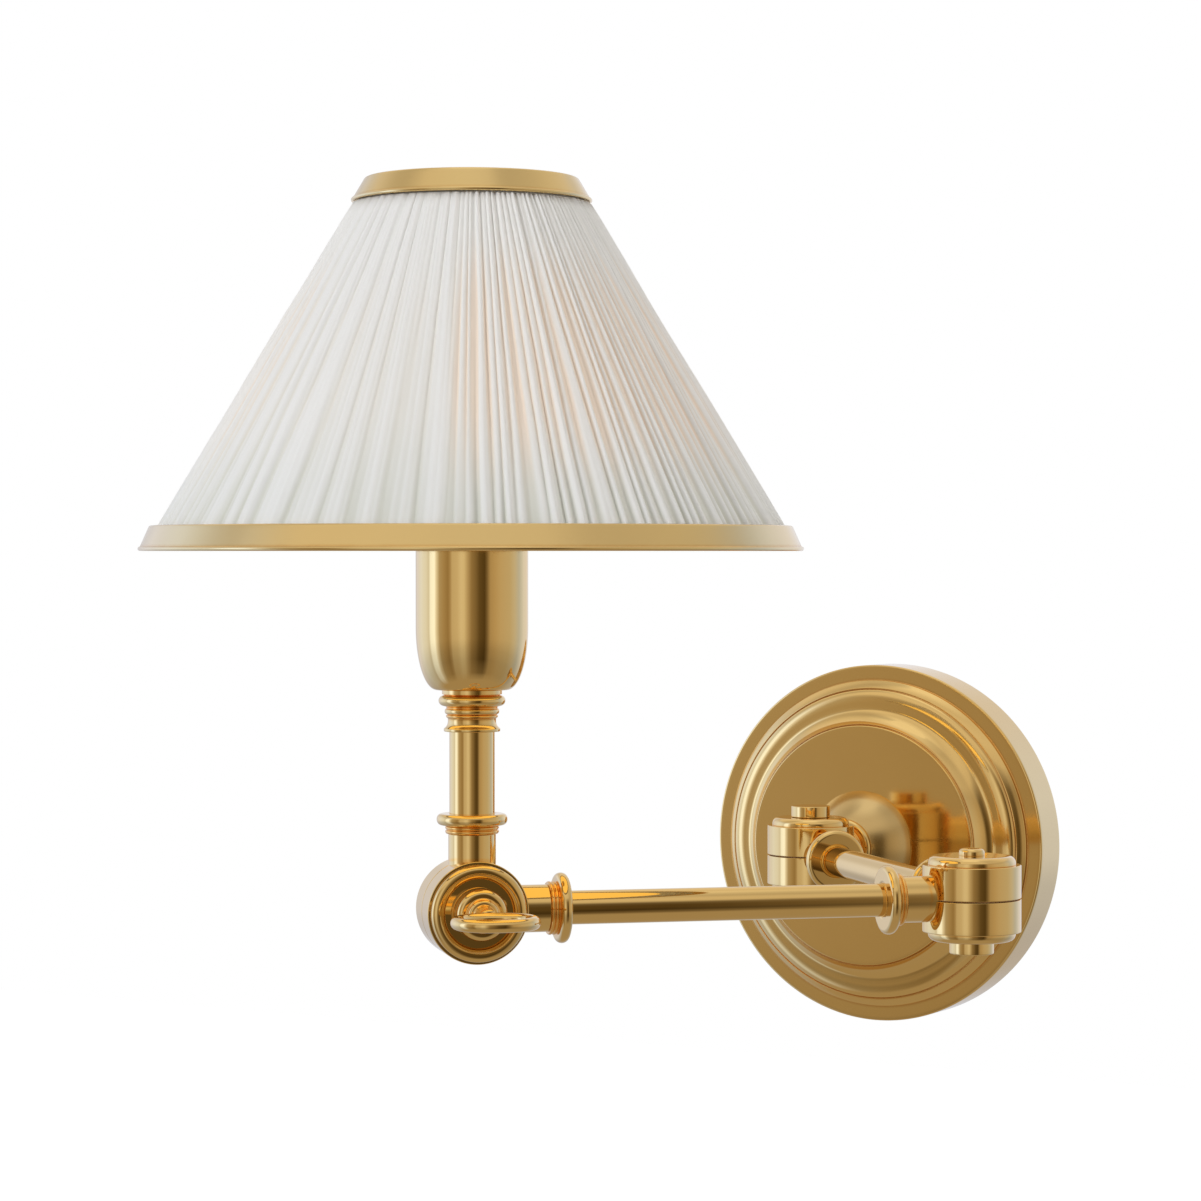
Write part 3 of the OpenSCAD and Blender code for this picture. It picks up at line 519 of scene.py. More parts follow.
plate_low, plate_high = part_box("backplate")
plate_radius = (plate_high.x - plate_low.x) / 2 / mm
plate_face = -plate_low.y / mm
rim_face, sheet = 19.7, 1.5
pipe_hole = pipe_radius / mm + 0.05
plate_outside = [
    (plate_radius - sheet, 0, 0.3), (plate_radius, 0, 0.4), (plate_radius, rim_face, 0.9),
    (70.5, rim_face, 0.35), (70.5, 21.1, 0.3),
    *swell(70.1, 21.4, 67.1, 23.9, 8, 0.4)[1:], (66.9, 23.65, 0.1), (66.6, 23.9, 0.1),
    *swell(66.5, 24.0, 61.0, 26.2, 12, 0.08)[1:], (60.6, 26.2, 0), (58.6, 26.3, 0.6),
    *swell(58.2, 26.3, 52.1, 33.3, 14, 0.76)[1:], (51.9, 33.1, 0.1), (51.6, 33.6, 0.2),
    (51.3, plate_face, 0.4), (pipe_hole, plate_face, 0)]
plate_inside = [
    (pipe_hole, plate_face - sheet, 0), (50.0, plate_face - sheet, 0.5), (50.4, 32.3, 0.2),
    *swell(57.0, 25.1, 50.9, 32.1, 14, 0.76)[::-1], (57.6, 24.6, 0.4),
    *swell(68.4, 20.4, 61.5, 24.6, 9, 0.2)[::-1], (68.9, rim_face - sheet, 0.5),
    (plate_radius - sheet, rim_face - sheet, 1.0)]
from_wall = dict(x=(1, 0, 0), z=(0, -1, 0))
make("spun_backplate", "wall", "backplate",
     [placed(turned(eased(plate_outside + plate_inside), 256), **from_wall)], spun_brass)


# ---- Boss and collar on the plate ----
# A domed brass boss, turned from bar, stands on the middle of the plate. The collar between
# it and the first knuckle has two thin rings and a rounded flange.
soft_brass = brass_finish("soft_brass", 0.2, 0.2, (0.67, 0.465, 0.195), (0.70, 0.42, 0.15))
boss_radius, boss_foot, boss_top = 23.5, 0.6, 49.0
make("domed_boss", "wall", "wall_boss", [placed(turned(eased([
    (pipe_hole, plate_face, 0), (boss_radius, plate_face, 0.1), (boss_radius, plate_face + boss_foot, 0.1),
    *swell(boss_radius - 0.1, plate_face + 0.8, 11.0, boss_top, 16, 0.32)[1:],
    (pipe_hole, boss_top, 0)]), 128), **from_wall)], soft_brass)

stub_end = 27.0


def collar(bore):
    """A collar along Z, on a stub's end: two thin rings, a groove, and a flange with a round rim."""
    flange = stub_end + 3.0
    return turned(eased([
        (bore, stub_end, 0), (9.2, stub_end, 0.2), *bead(9.0, stub_end + 0.1, 0.5, 1.25, 7),
        *bead(9.0, stub_end + 1.5, 0.5, 1.25, 7), (9.1, flange, 0.2), (10.9, flange, 0.2),
        *bead(11.0, flange + 0.05, 1.5, 3.9, 13), (10.9, flange + 4.0, 0.2), (bore, flange + 4.0, 0)]))


wall_pivot = pivots["wall_swing"]
up, down = Vector((0, 0, 1)), Vector((0, 0, -1))
into_wall = Vector((0, 1, 0))
make("wall_collar_turned", "wall", "wall_collar", [placed(collar(pipe_hole), wall_pivot, up, into_wall)])


# ---- Wall knuckle ----
# The lower half of the first knuckle is fixed to the wall by its stub. Each half is a brass
# drum with a thin ledge, and a pressed cap closes it. A bolt holds both halves together.
knuckle_radius, knuckle_height, cap_height = 18.0, 12.2, 3.3
bolt_radius, bolt_hole, button_radius = 3.0, 3.05, 4.7
split = 0.25                                           # half the gap between the halves
cap_top = knuckle_height + cap_height


def drum():
    """Half a knuckle above its split: the drum, its hub and the space between them."""
    ledge, hub, floor_top = 15.8, 6.0, split + 2.5
    return turned(eased([
        (bolt_hole, split, 0), (knuckle_radius, split, 0.25), (knuckle_radius, knuckle_height, 0.4),
        (ledge, knuckle_height, 0.2), (ledge, floor_top, 0.3), (hub, floor_top, 0.3),
        (hub, knuckle_height, 0.2), (bolt_hole, knuckle_height, 0)]), 128)


def net(rings, sides, backwards=False):
    """The faces of closed rings of points, the last joined to the first, and turned if backwards."""
    faces = []
    for i in range(rings):
        for j in range(sides):
            n, m = (i + 1) % rings, (j + 1) % sides
            beside, next_ring = i * sides + m, n * sides + j
            b, d = (beside, next_ring) if backwards else (next_ring, beside)
            faces.append([i * sides + j, b, n * sides + m, d])
    return faces


def stub(radius=8.4, bore=5.0, sides=120):
    """A stub along X, let into its own half above the split and cut clear of the other."""
    clear, let_in = 0.3, 2.0
    angles = np.sort(np.concatenate([np.arange(sides) * 2 * math.pi / sides,
                                     np.radians([1, 2, 178, 179, 181, 182, 358, 359])]))
    rim = stub_end - 0.35
    rows = ([(0, bore, -1, 0), (0, (bore + radius) / 2, -1, 0), (0, radius, 0, 1)]
            + [(t, radius, 0, 1) for t in np.linspace(0.2, 0.9, 8)]
            + [(rim, radius, 0, 1), (stub_end - 0.1, radius - 0.1, 0.7, 0.7), (stub_end, radius - 0.35, 1, 0),
               (stub_end, bore, 1, 0), (stub_end - 1, bore, 0, -1)])
    spots, normals, lines = [], [], []
    for a in angles:
        c, s = math.cos(a), math.sin(a)
        for x, r, nx, nr in rows:
            own = np.clip((r * s + split) / (2 * split), 0, 1)
            edge = math.sqrt((knuckle_radius + clear - own * let_in) ** 2 - (r * c) ** 2)
            along = edge + x * (rim - edge) if x <= 0.9 else x
            spots.append((along, r * c, r * s))
            normals.append((nx, nr * c, nr * s))
            lines.append((along, 0.5 * c, 0.5 * s, math.exp(-((along - knuckle_radius) / 0.8) ** 2)))
    return np.array(spots), np.array(normals), net(len(angles), len(rows)), np.array(lines)


def half(pivot, along, above):
    """Half a knuckle at its pivot, with its stub along one direction and its cap's side above."""
    return [placed(drum(), pivot, along, above), placed(stub(), pivot, along, above)]


spigot_side = [(13.2, knuckle_height, 0), (13.2, knuckle_height - 1.5, 0.1),
               (15.7, knuckle_height - 1.5, 0.1), (15.7, knuckle_height, 0)]


def cap(bore):
    """The pressed cap of a knuckle, with its spigot inside the drum."""
    return turned(eased([
        (bore, knuckle_height, 0), *spigot_side, (16.0, knuckle_height, 0.1),
        *swell(16.0, cap_top - 2.6, 13.4, cap_top), (bore, cap_top, 0.15)]))


button_top = [*swell(button_radius, cap_top + 1.1, 3.3, cap_top + 2.5), (0, cap_top + 2.5, 0)]


def bolt():
    """A pivot bolt along Z, with its button head above the cap."""
    return turned(eased([
        (0, -cap_top - 2.3, 0), (bolt_radius, -cap_top - 2.3, 0.2), (bolt_radius, cap_top, 0),
        (button_radius, cap_top, 0.1), *button_top]), 64)


def round_nut():
    """The plain round nut on a pivot bolt, below the knuckle."""
    low, high = cap_top + 0.1, cap_top + 4.7
    return turned(eased([
        (0, low + 2.4, 0), (bolt_hole, low + 2.4, 0), (bolt_hole, low, 0.1), (8.1, low, 0.3),
        (8.1, high, 0.45), (0, high, 0)]), 96)


make("wall_knuckle_brazed", "wall", "wall_knuckle", half(wall_pivot, into_wall, down))
for name, shape, node, above in (
        ("wall_knuckle_cap_pressed", cap(bolt_hole), "wall_knuckle_cap", down),
        ("wall_pivot_bolt_turned", bolt(), "wall_pivot_bolt", down),
        ("wall_pivot_nut_turned", round_nut(), "wall_pivot_nut", up)):
    make(name, "wall", node, [placed(shape, wall_pivot, into_wall, above)])

vulcanised_fibre, start, place = new_finish("vulcanised_fibre")
fleck = noise(place, 900.0, 4.0)
finish(start, Base_Color=fleck.tint((0.50, 0.27, 0.09), (0.62, 0.36, 0.14)), Roughness=0.45 + fleck * 0.2,
       Normal=bumps(fleck, 0.3))
dress(vulcanised_fibre, "wall_washer", "elbow_washer", "tilt_washer")


# ---- The two arms and the elbow ----
# Each arm is a drawn brass tube with a collar at each end and a knuckle half brazed to each
# stub. The wall arm lies on the wall's half and carries the elbow's lower half, and the outer
# arm lies on that. A bolt with its head above holds the elbow.
elbow = pivots["elbow_swing"]


def arm(length):
    """A drawn tube along Z, between the stubs of its two knuckles."""
    far_end = length - stub_end
    return turned(eased([(5.0, stub_end, 0), (6.0, stub_end, 0.2), (6.0, far_end, 0.2), (5.0, far_end, 0)]),
                  96, 6.0)


drawn_brass = brass_finish("drawn_brass", 0.035, 0.06)
for body, start_at, end_at in (("arm_1", wall_pivot, elbow), ("arm_2", elbow, head)):
    along = (end_at - start_at).normalized()
    length = (end_at - start_at).length / mm
    make(body + "_collars_turned", body, body + "_collars",
         [placed(collar(6.05), start_at, up, along), placed(collar(6.05), end_at, up, -along)])
    make(body + "_tube_drawn", body, body + "_tube", [placed(arm(length), start_at, up, along)], drawn_brass)
    make(body + "_inner_knuckle_brazed", body, body + "_inner_knuckle", half(start_at, along, up))
    make(body + "_inner_cap_pressed", body, body + "_inner_cap",
         [placed(cap(bolt_hole), start_at, along, up)])

back = (wall_pivot - elbow).normalized()
make("arm_1_outer_knuckle_brazed", "arm_1", "arm_1_outer_knuckle", half(elbow, back, down))
for name, shape, node, above in (
        ("arm_1_outer_cap_pressed", cap(bolt_hole), "arm_1_outer_cap", down),
        ("elbow_bolt_turned", bolt(), "elbow_bolt", up),
        ("elbow_nut_turned", round_nut(), "elbow_nut", down)):
    make(name, "arm_1", node, [placed(shape, elbow, back, above)])


# ---- Tilting knuckle, rear half ----
# The outer arm ends in the rear half of a knuckle that lies on its side. A blind nut with a
# button is pressed into its cap, and the key's stud screws into that nut.
front = Vector(next(j["axis"] for j in frame["joints"] if j["name"] == "head_tilt")).normalized()
to_elbow = (elbow - head).normalized()
make("arm_2_tilt_knuckle_brazed", "arm_2", "arm_2_tilt_knuckle", half(head, to_elbow, -front))
make("arm_2_tilt_cap_pressed", "arm_2", "arm_2_tilt_cap",
     [placed(cap(button_radius + 0.05), head, to_elbow, -front)])
make("tilt_nut_turned", "arm_2", "tilt_nut", [placed(turned(eased([
    (0, 16.8, 0), (bolt_hole, 16.8, 0), (bolt_hole, knuckle_height, 0.1),
    (button_radius, knuckle_height, 0.1), *button_top]), 64), head, to_elbow, -front)])


# ---- Tension key ----
# The key that locks the tilt: a turned base with two steps, a neck, and a loop bent from
# round bar for the fingers. The loop is brazed to the neck.
def loop(width, depth, bar, centre, steps=112, sides=28):
    """An oval loop of round bar in the XZ plane, round the point at height centre."""
    bend, flat = depth / 2 - bar / 2, (width - depth) / 2
    spots, normals, lines = [], [], []
    for i in range(steps):
        a = i * 2 * math.pi / steps
        c, s = math.cos(a), math.sin(a)
        side = flat * np.clip(c * 6, -1, 1)
        for j in range(sides):
            b = j * 2 * math.pi / sides
            out, over = math.cos(b), math.sin(b)
            reach = bend + bar / 2 * out
            spots.append((side + reach * c, bar / 2 * over, centre + reach * s))
            normals.append((out * c, over, out * s))
            lines.append((0.5 * out, 0.5 * over, i * 0.7, 0))
    return np.array(spots), np.array(normals), net(steps, sides, True), np.array(lines)


key_foot, key_radius, neck_top, loop_centre = 13.4, 9.15, 31.7, 42.9
make("tension_key_turned", "key", "tension_key", [
    placed(turned(eased([
        (0, 19.5, 0), (bolt_hole, 19.5, 0), (bolt_hole, key_foot, 0), (8.6, key_foot, 0.3),
        (key_radius, 14.2, 0.4), (key_radius, 17.6, 0), *swell(key_radius, 17.8, 7.0, 20.4),
        (6.1, 20.4, 0.3), (5.5, 20.9, 0.3), *swell(5.5, 21.3, 4.4, 22.4, 6), (3.9, 22.5, 0.5),
        (3.1, 24.5, 0.8), (2.9, 27.0, 0.8), (3.2, 29.6, 0.8), (3.2, neck_top, 0),
        (0, neck_top, 0)])), head, to_elbow, front),
    placed(loop(31.0, 27.0, 4.5, loop_centre), head, to_elbow, front)])


# ---- Tilting knuckle, front half ----
# The front half carries the stem on its stub. A flat cover closes it, and a rounded bead
# runs round the cover's edge, so that the key turns in a shallow dish.
cover_radius, cover_top = 17.0, 13.2
make("stem_knuckle_brazed", "head", "stem_knuckle", half(head, up, front))
make("stem_cover_turned", "head", "stem_cover", [placed(turned(eased([
    (bolt_hole, knuckle_height, 0), *spigot_side, (cover_radius, knuckle_height, 0.2),
    (cover_radius, cover_top, 0.1), (bolt_hole, cover_top, 0.1)])), head, up, front)])
make("stem_bead_ring_turned", "head", "stem_bead_ring", [placed(turned(eased([
    (12.1, cover_top, 0), (cover_radius, cover_top, 0), (cover_radius, 13.5, 0.1),
    *[(14.6 + 2.4 * math.cos(a), 13.6 + 1.9 * math.sin(a), 0) for a in np.linspace(0.1, math.pi - 0.1, 21)],
    (12.1, 13.5, 0.1)])), head, up, front)])


# ---- Stem ----
# A short brass tube with a collar below and a turned fitting above: flare, neck, thin ring
# and bead. A threaded pipe inside pulls it all together.
stem_top, cup_foot = 62.9, 77.5
make("stem_collar_turned", "head", "stem_collar", [placed(collar(8.05), head, to_elbow, up)])
make("stem_tube_drawn", "head", "stem_tube", [placed(turned(eased([
    (7.0, stub_end, 0), (8.0, stub_end, 0.1), (8.0, stem_top, 0.1), (7.0, stem_top, 0)])),
    head, to_elbow, up)], drawn_brass)
make("cup_fitting_turned", "head", "cup_fitting", [placed(turned(eased([
    (pipe_hole, stem_top, 0), (9.9, stem_top, 0.25), (10.0, stem_top + 1.0, 0.3),
    (9.5, stem_top + 1.35, 0.3), (8.8, stem_top + 2.1, 0.6), (8.5, stem_top + 3.3, 0.8),
    (8.5, stem_top + 4.4, 0.4), *bead(8.7, stem_top + 4.8, 0.5, 1.1, 7), (8.8, stem_top + 6.0, 0.15),
    *bead(9.0, stem_top + 6.1, 0.65, 2.0, 9), (9.0, stem_top + 8.4, 0.2), (9.5, stem_top + 8.8, 0.2),
    *bead(9.7, stem_top + 8.9, 2.1, 3.9, 15), (9.8, stem_top + 12.95, 0.2), (10.6, stem_top + 13.1, 0.15),
    (10.6, cup_foot, 0.1), (pipe_hole, cup_foot, 0)])), head, to_elbow, up)])


# ---- Socket cup and lamp holder ----
# A cup drawn from brass sheet hides the lamp holder: an ivory body with a threaded brass
# shell and a contact. A ribbed ring nut on the holder clamps the shade's carrier.
cup_radius, cup_side, cup_edge, cup_sheet = 19.8, 99.4, 134.0, 1.2


def cup_line(radius, low, foot, steps=20):
    """A cup's outline: a flat foot, an elliptical bottom and a straight side."""
    bottom = [(foot + (radius - foot) * math.sin(a), low + (cup_side - low) * (1 - math.cos(a)), 0)
              for a in np.linspace(0, math.pi / 2, steps)[1:]]
    return [(foot, low, 0)] + bottom + [(radius, cup_edge, 0.2)]


make("socket_cup_drawn", "head", "socket_cup", [placed(turned(eased(
    [(pipe_hole, cup_foot, 0)] + cup_line(cup_radius, cup_foot, 12.5)
    + cup_line(cup_radius - cup_sheet, cup_foot + cup_sheet, 11.9)[::-1]
    + [(pipe_hole, cup_foot + cup_sheet, 0)]), 128), head, to_elbow, up)])

ivory_plastic, start, place = new_finish("ivory_plastic")
cloud, pebble = noise(place, 60.0, 3.0), noise(place, 1500.0, 2.0)
finish(start, Base_Color=cloud.tint((0.80, 0.77, 0.69), (0.84, 0.82, 0.75)), Roughness=0.32 + cloud * 0.12,
       Normal=bumps(pebble, 0.15))
dress(ivory_plastic, "lamp_holder")

contact_brass, start, place = new_finish("contact_brass")
cloud = noise(place, 250.0, 4.0)
finish(start, Base_Color=cloud.tint((0.76, 0.55, 0.26), (0.66, 0.42, 0.17)), Metallic=1.0,
       Roughness=0.22 + cloud * 0.2, Normal=bumps(cloud, 0.2))
dress(contact_brass, "centre_contact")


def threaded_shell(inside, outside, low, high, thread_pitch=3.6, depth=0.45, sides=96):
    """A thin shell with a rolled thread that stays outside its clear bore."""
    rows = int((high - low) / thread_pitch * 12)
    levels = np.concatenate([np.linspace(low, high, rows), np.linspace(high, low, rows)])
    spots = []
    for k, z in enumerate(levels):
        for j in range(sides):
            a = j * 2 * math.pi / sides
            groove = depth * (0.5 - 0.5 * math.cos(2 * math.pi * (z - low) / thread_pitch - a))
            groove *= min(1, (high - z) / 3.0)
            r = outside if k < rows else inside + groove
            spots.append((r * math.cos(a), r * math.sin(a), z))
    spots = np.array(spots)
    grid = spots.reshape(2 * rows, sides, 3)
    normals = np.cross(np.roll(grid, -1, 1) - np.roll(grid, 1, 1), np.roll(grid, -1, 0) - np.roll(grid, 1, 0))
    normals = normals.reshape(-1, 3)
    normals /= np.maximum(np.linalg.norm(normals, axis=1), 1e-9)[:, None]
    lines = np.concatenate([spots * 0.5, np.zeros((len(spots), 1))], 1)
    return spots, normals, net(2 * rows, sides, True), lines


def above_head(node):
    """A node's foot and top above the head's pivot, and its radius, in millimetres."""
    low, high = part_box(node)
    return (low.z - head.z) / mm, (high.z - head.z) / mm, (high.x - low.x) / 2 / mm


shell_foot, shell_top = above_head("screw_shell")[:2]
make("screw_shell_rolled", "head", "screw_shell",
     [placed(threaded_shell(13.3, 14.1, shell_foot, shell_top), head)], contact_brass)


def rib_growth():
    """Upright ribs in a circle round the Z axis, for the fingers to grip."""
    tree, sockets, size = new_growth("grip_ribs", ("Radius", "Height", "Rib"), ("Count",))
    start = Wire(tree)
    ring = start.node("GeometryNodeMeshCircle", None, {"Vertices": size["Count"], "Radius": size["Radius"]})
    upright = start.node("GeometryNodeMeshCylinder", None, {
        "Vertices": 10, "Side Segments": 1, "Fill Segments": 1,
        "Radius": size["Rib"], "Depth": size["Height"]})
    end_growth(start.node("GeometryNodeInstanceOnPoints", None, {"Points": ring, "Instance": upright}), size)
    return tree, sockets


nut_foot, nut_top, nut_radius = above_head("shade_ring_nut")
nut_bore, rib_radius = 18.35, 0.7
make("shade_ring_nut_moulded", "head", "shade_ring_nut", [placed(turned(eased([
    (nut_bore, nut_foot, 0.2), (nut_radius - rib_radius, nut_foot, 0.3),
    (nut_radius - rib_radius, nut_top, 0.6), (nut_bore, nut_top, 0.3)]), 128), head)],
    ivory_plastic)
ribs = grown("ring_nut_ribs", rib_growth(), {
    "Radius": (nut_radius - 0.75) * mm, "Height": (nut_top - nut_foot - 1.2) * mm, "Count": 60,
    "Rib": rib_radius * mm, "Finish": ivory_plastic},
    Matrix.Translation(head + Vector((0, 0, (nut_foot + nut_top) / 2 * mm))))
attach(ribs, "head")


# ---- Shade carrier and wires ----
# A flat ring sits on the lamp holder. Three rods are welded to it and to the shade's lower
# wire. All of it is plated, and a second wire stiffens the upper edge.
plated_wire, start, place = new_finish("plated_wire")
cloud = noise(place, 120.0, 4.0)
finish(start, Base_Color=cloud.tint((0.66, 0.62, 0.52), (0.74, 0.71, 0.64)), Metallic=1.0,
       Roughness=0.2 + cloud * 0.14, Normal=bumps(cloud, 0.2))
dress(plated_wire, "carrier_ring", "carrier_spokes", "bottom_wire_ring", "top_wire_ring")


# ---- Shade lining ----
# A cone of stiff white card, laminated with a plastic film, gives the shade its form. It is
# lapped and glued, and both wires are fixed inside it.
lining_card, start, place = new_finish("lining_card")
cloud, pulp = noise(place, 25.0, 3.0), noise(place, 1100.0, 3.0)
finish(start, Base_Color=cloud.tint((0.80, 0.78, 0.73), (0.84, 0.83, 0.79)), Roughness=0.5 + pulp * 0.15,
       Normal=bumps(pulp, 0.2))
dress(lining_card, "shade_lining")


# ---- Gathered shade fabric ----
# One strip of fine off-white cloth, joined into a ring, is gathered over the lining. It is
# spread wider at the lower edge and drawn tight at the upper, so the gathers run straight
# up, finer and closer towards the top.
cloth_foot, cloth_top, cloth_radius = above_head("shade_fabric")
cone_slope = 0.594                                     # inwards for each unit of height
lining_depth = 2.53                                    # from the cloth's outer face in to the lining
cloth_hem = 1.0                                        # from the node's foot up to the cloth's edge
panel_side = to_camera - math.radians(33)              # where the cloth lies in wide flat panels
cloth_columns, cloth_rows = 1800, 25


def gather_growth():
    """A ring of cloth on a cone, with flat panels and folds drawn up towards the top."""
    tree, sockets, size = new_growth(
        "gathers", ("Low", "High", "Radius", "Slope", "Inset", "Fold", "Panel", "Seed"), ("Columns", "Rows"))
    start = Wire(tree)
    grid = start.node("GeometryNodeMeshGrid", None, {
        "Size X": 1.0, "Size Y": 1.0, "Vertices X": size["Columns"], "Vertices Y": size["Rows"]})
    across = start.node("ShaderNodeSeparateXYZ", None, {0: start.node("GeometryNodeInputPosition")})
    upward = Wire(tree, across.socket.node.outputs[1])
    turn = (across + 0.5) * (2 * math.pi)
    rise = upward + 0.5

    def around(angle, distance, height):
        """The point at an angle and a distance round the Z axis."""
        return start.node("ShaderNodeCombineXYZ", None, {
            0: distance * angle.math("COSINE", angle), 1: distance * angle.math("SINE", angle), 2: height})

    def ruffle(angle, grain, height, shift):
        """Smooth noise round the ring, about -1 to 1, with no seam."""
        wave = start.node("ShaderNodeTexNoise", {"noise_dimensions": "4D"}, {
            "Vector": around(angle, grain, height), "W": size["Seed"] + shift, "Scale": 1.0, "Detail": 1.0})
        return (wave - 0.5) * 2.6

    def folds(count, uneven, shift, lean, sharp):
        """Folds round the ring, 0 in the hollow and 1 on the crest, unevenly wide and high."""
        phase = sway * count + ruffle(sway, count / 15, rise * 0.5, shift) * (uneven * 2 * math.pi)
        wave = phase + phase.math("SINE", phase) * lean
        wave = wave.math("SINE", wave) * 0.5 + 0.5
        return wave ** sharp * (0.3 + 0.7 * ruffle(sway, count / 8, rise * 0.5, shift + 5).between(-0.9, 0.6))

    sway = (turn + ruffle(turn, 1.6, rise * 0.8, 1.0) * 0.012 + ruffle(turn, 5.0, rise * 1.6, 2.0) * 0.006
            + ruffle(turn, 24.0, rise * 9.0, 3.0) * 0.0016)
    from_panel = turn - size["Panel"]
    slack = ruffle(turn, 3.6, rise * 0.4, 90.0)
    panel = turn.math("MAXIMUM", (from_panel.math("COSINE", from_panel) + slack * 0.05).between(0.85, 0.92),
                      slack.between(0.5, 0.8))
    broad = folds(60, 0.9, 20.0, -0.5, 0.5)
    close = folds(148, 0.8, 10.0, 0.4, 1.0)
    group = folds(64, 0.8, 40.0, 0.3, 1.2)
    ripple = folds(230, 0.7, 30.0, 0.2, 1.0)
    crinkle = ruffle(turn, 42.0, rise * 16.0, 60.0)
    fold = (panel * (broad * 0.66 + 0.1) + (1.0 - panel) * (close * 0.7 + group * 0.3)
            + ripple * 0.12 + crinkle * 0.03)
    # the folds grow flatter towards the top, and both edges are pressed under the trims
    pressed = rise.between(-0.02, 0.05) * (1.0 - rise.between(0.95, 1.02) * 0.5)
    depth = fold * (1.0 - rise * 0.36) * (0.75 + 0.25 * pressed)
    z = size["Low"] + rise * (size["High"] - size["Low"])
    radius = size["Radius"] - (z - size["Low"]) * size["Slope"] - size["Inset"] + depth * size["Fold"]
    sag = ruffle(turn, 2.2, rise * 1.1, 70.0) * (0.12 * mm)
    slant = 1.16                                       # the way up the cone for each unit of height
    cloth = start.node("ShaderNodeCombineXYZ", None, {0: turn * size["Radius"], 1: z * slant, 2: 0.0})
    for name, kind, value in (("fold", "FLOAT", fold), ("climb", "FLOAT", rise),
                              ("weave", "FLOAT_VECTOR", cloth), ("broad", "FLOAT", panel)):
        # each value is worked out on the flat grid, so it is stored before the grid is moved
        grid = start.node("GeometryNodeStoreNamedAttribute", {"data_type": kind},
                          {"Geometry": grid, "Name": name, "Value": value})
    moved = start.node("GeometryNodeSetPosition", None,
                       {"Geometry": grid, "Position": around(turn, radius + sag, z)})
    welded = start.node("GeometryNodeMergeByDistance", None, {"Geometry": moved, "Distance": 1e-6})
    end_growth(start.node("GeometryNodeSetShadeSmooth", None, {"Geometry": welded}), size)
    return tree, sockets


fine_linen, start = new_tree("fine_linen")
fold, climb, broad = (start.node("ShaderNodeAttribute", {"attribute_name": name}, None, 2)
                      for name in ("fold", "climb", "broad"))
weave = start.node("ShaderNodeAttribute", {"attribute_name": "weave"}, None, 1)
round_way = start.node("ShaderNodeSeparateXYZ", None, {0: weave})
up_way = Wire(start.tree, round_way.socket.node.outputs[1])
yarn = 2 * math.pi / (0.42 * mm)
warp = (round_way * yarn).math("SINE", round_way * yarn)
weft = (up_way * yarn).math("SINE", up_way * yarn)
slub, cross_slub = streaks(weave, (2600, 90, 1)), streaks(weave, (90, 2600, 1))
patch, pucker = noise(weave, 22.0, 2.0), noise(weave, 420.0, 2.0)
# Painted light and shade on the cloth: the fold hollows are painted darker, and greyer and greener low down,
# less so towards the top. The crests are painted lighter above the lowest part. A peach glow, as of warm
# light through the cloth, is painted mostly into the hollows at mid height, and less on the broad panels. The
# slubs are the yarn's own.
hollow = 1.0 - fold.between(0.12, 0.66)
above = climb.between(0.02, 0.42)
middle = above * (1.0 - climb.between(0.62, 0.98))
painted_glow = (hollow * 0.8 + 0.2) * middle * (0.75 + patch * 0.5) * (1.0 - broad * 0.7)
crest = above.tint(slub.tint((0.82, 0.82, 0.80), (0.85, 0.85, 0.83)),
                   slub.tint((0.87, 0.855, 0.83), (0.90, 0.885, 0.86)))
painted_fold_shade = (hollow * (1.0 - climb.between(0.3, 0.9) * 0.7)).tint(
    crest, above.tint((0.68, 0.68, 0.61), (0.80, 0.79, 0.74)))
finish(start, Base_Color=painted_glow.between(0.0, 1.05).tint(painted_fold_shade, (0.91, 0.77, 0.64)), Roughness=0.9,
       Sheen_Weight=0.15, Sheen_Roughness=0.5,
       Normal=bumps(warp * weft * 0.5 + slub * 0.8 + cross_slub * 0.5 + pucker * 2.0, 0.35))

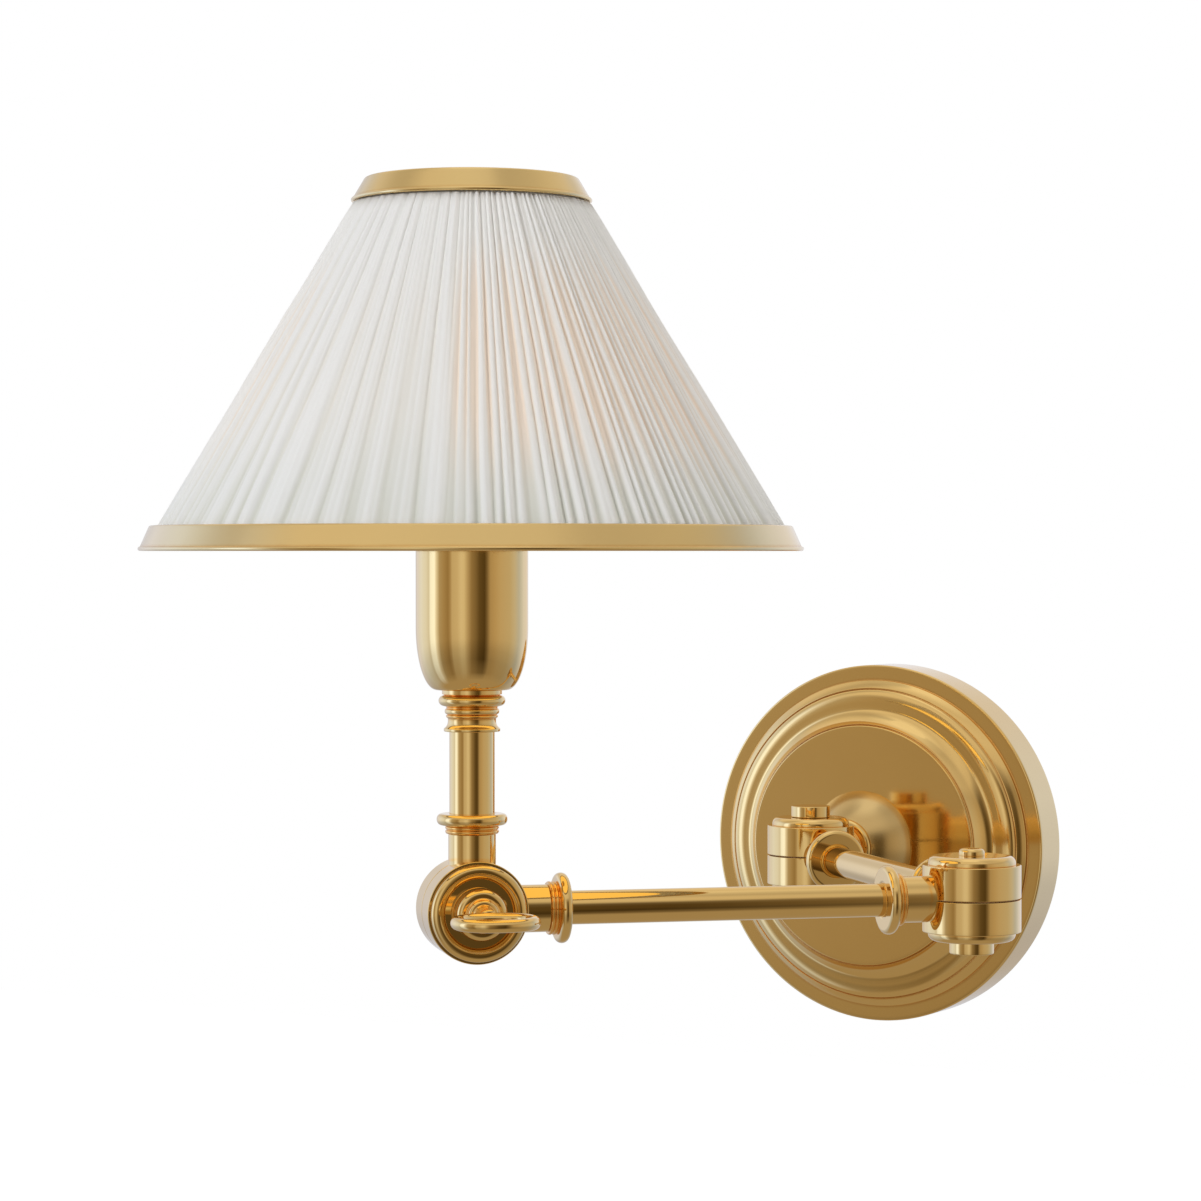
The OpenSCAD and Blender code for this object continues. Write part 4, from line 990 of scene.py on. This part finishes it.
fabric = grown("gathered_fabric", gather_growth(), {
    "Low": (cloth_foot + cloth_hem) * mm, "High": (cloth_top - 0.2) * mm,
    "Radius": (cloth_radius - cloth_hem * cone_slope) * mm, "Slope": cone_slope,
    "Inset": (lining_depth - 0.15) * mm, "Fold": 3.0 * mm, "Panel": panel_side,
    "Columns": cloth_columns + 1, "Rows": cloth_rows, "Seed": 7.0, "Finish": fine_linen},
    Matrix.Translation(head))
thickness = fabric.modifiers.new("thickness", "SOLIDIFY")
thickness.thickness, thickness.offset = 0.35 * mm, 0.0
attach(fabric, "head")
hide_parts("shade_fabric")


# ---- Shade trims ----
# Two bands rolled from thin brass and brushed to a satin finish close the fabric's edges.
# Each has a lip turned in over the shade and a fine rolled line at its lower edge.
satin_brass = brass_finish("satin_brass", 0.15, 0.2, (0.80, 0.575, 0.245), (0.74, 0.46, 0.16))


def rolled_line(r, z, depth, height, lowest):
    """The points of a band's rolled line round the point r, z, from its lowest angle up."""
    return [(r + depth * math.cos(a), z + height * math.sin(a), 0) for a in np.linspace(lowest, 1.1, 9)]


edge_foot, edge_top, low_radius = above_head("bottom_trim")
make("bottom_trim_rolled", "head", "bottom_trim", [placed(turned(eased([
    (110.7, edge_foot, 0.2), (low_radius - 1.2, edge_foot, 0.1),
    *rolled_line(low_radius - 0.75, edge_foot + 0.8, 0.75, 0.78, -1.5),
    (low_radius - 0.75, edge_foot + 1.5, 0.15),
    (112.5, edge_top - 0.2, 0.5), (110.4, edge_top, 0.25), (110.2, edge_top - 0.7, 0.2),
    (111.9, edge_top - 0.9, 0.3), (low_radius - 1.6, edge_foot + 1.2, 0.3),
    (110.9, edge_foot + 0.9, 0.2)]), 256), head)], satin_brass)
top_foot, top_top, top_radius = above_head("top_trim")
make("top_trim_rolled", "head", "top_trim", [placed(turned(eased([
    (top_radius - 1.0, top_foot + 0.05, 0.1),
    *rolled_line(top_radius - 0.72, top_foot + 0.75, 0.7, 0.7, -1.4),
    (top_radius - 0.75, top_foot + 1.45, 0.15),
    (37.5, top_top, 0.7), (33.2, top_top, 0.25), (33.2, top_top - 0.8, 0.2),
    (36.7, top_top - 0.9, 0.3)]), 192), head)], satin_brass)
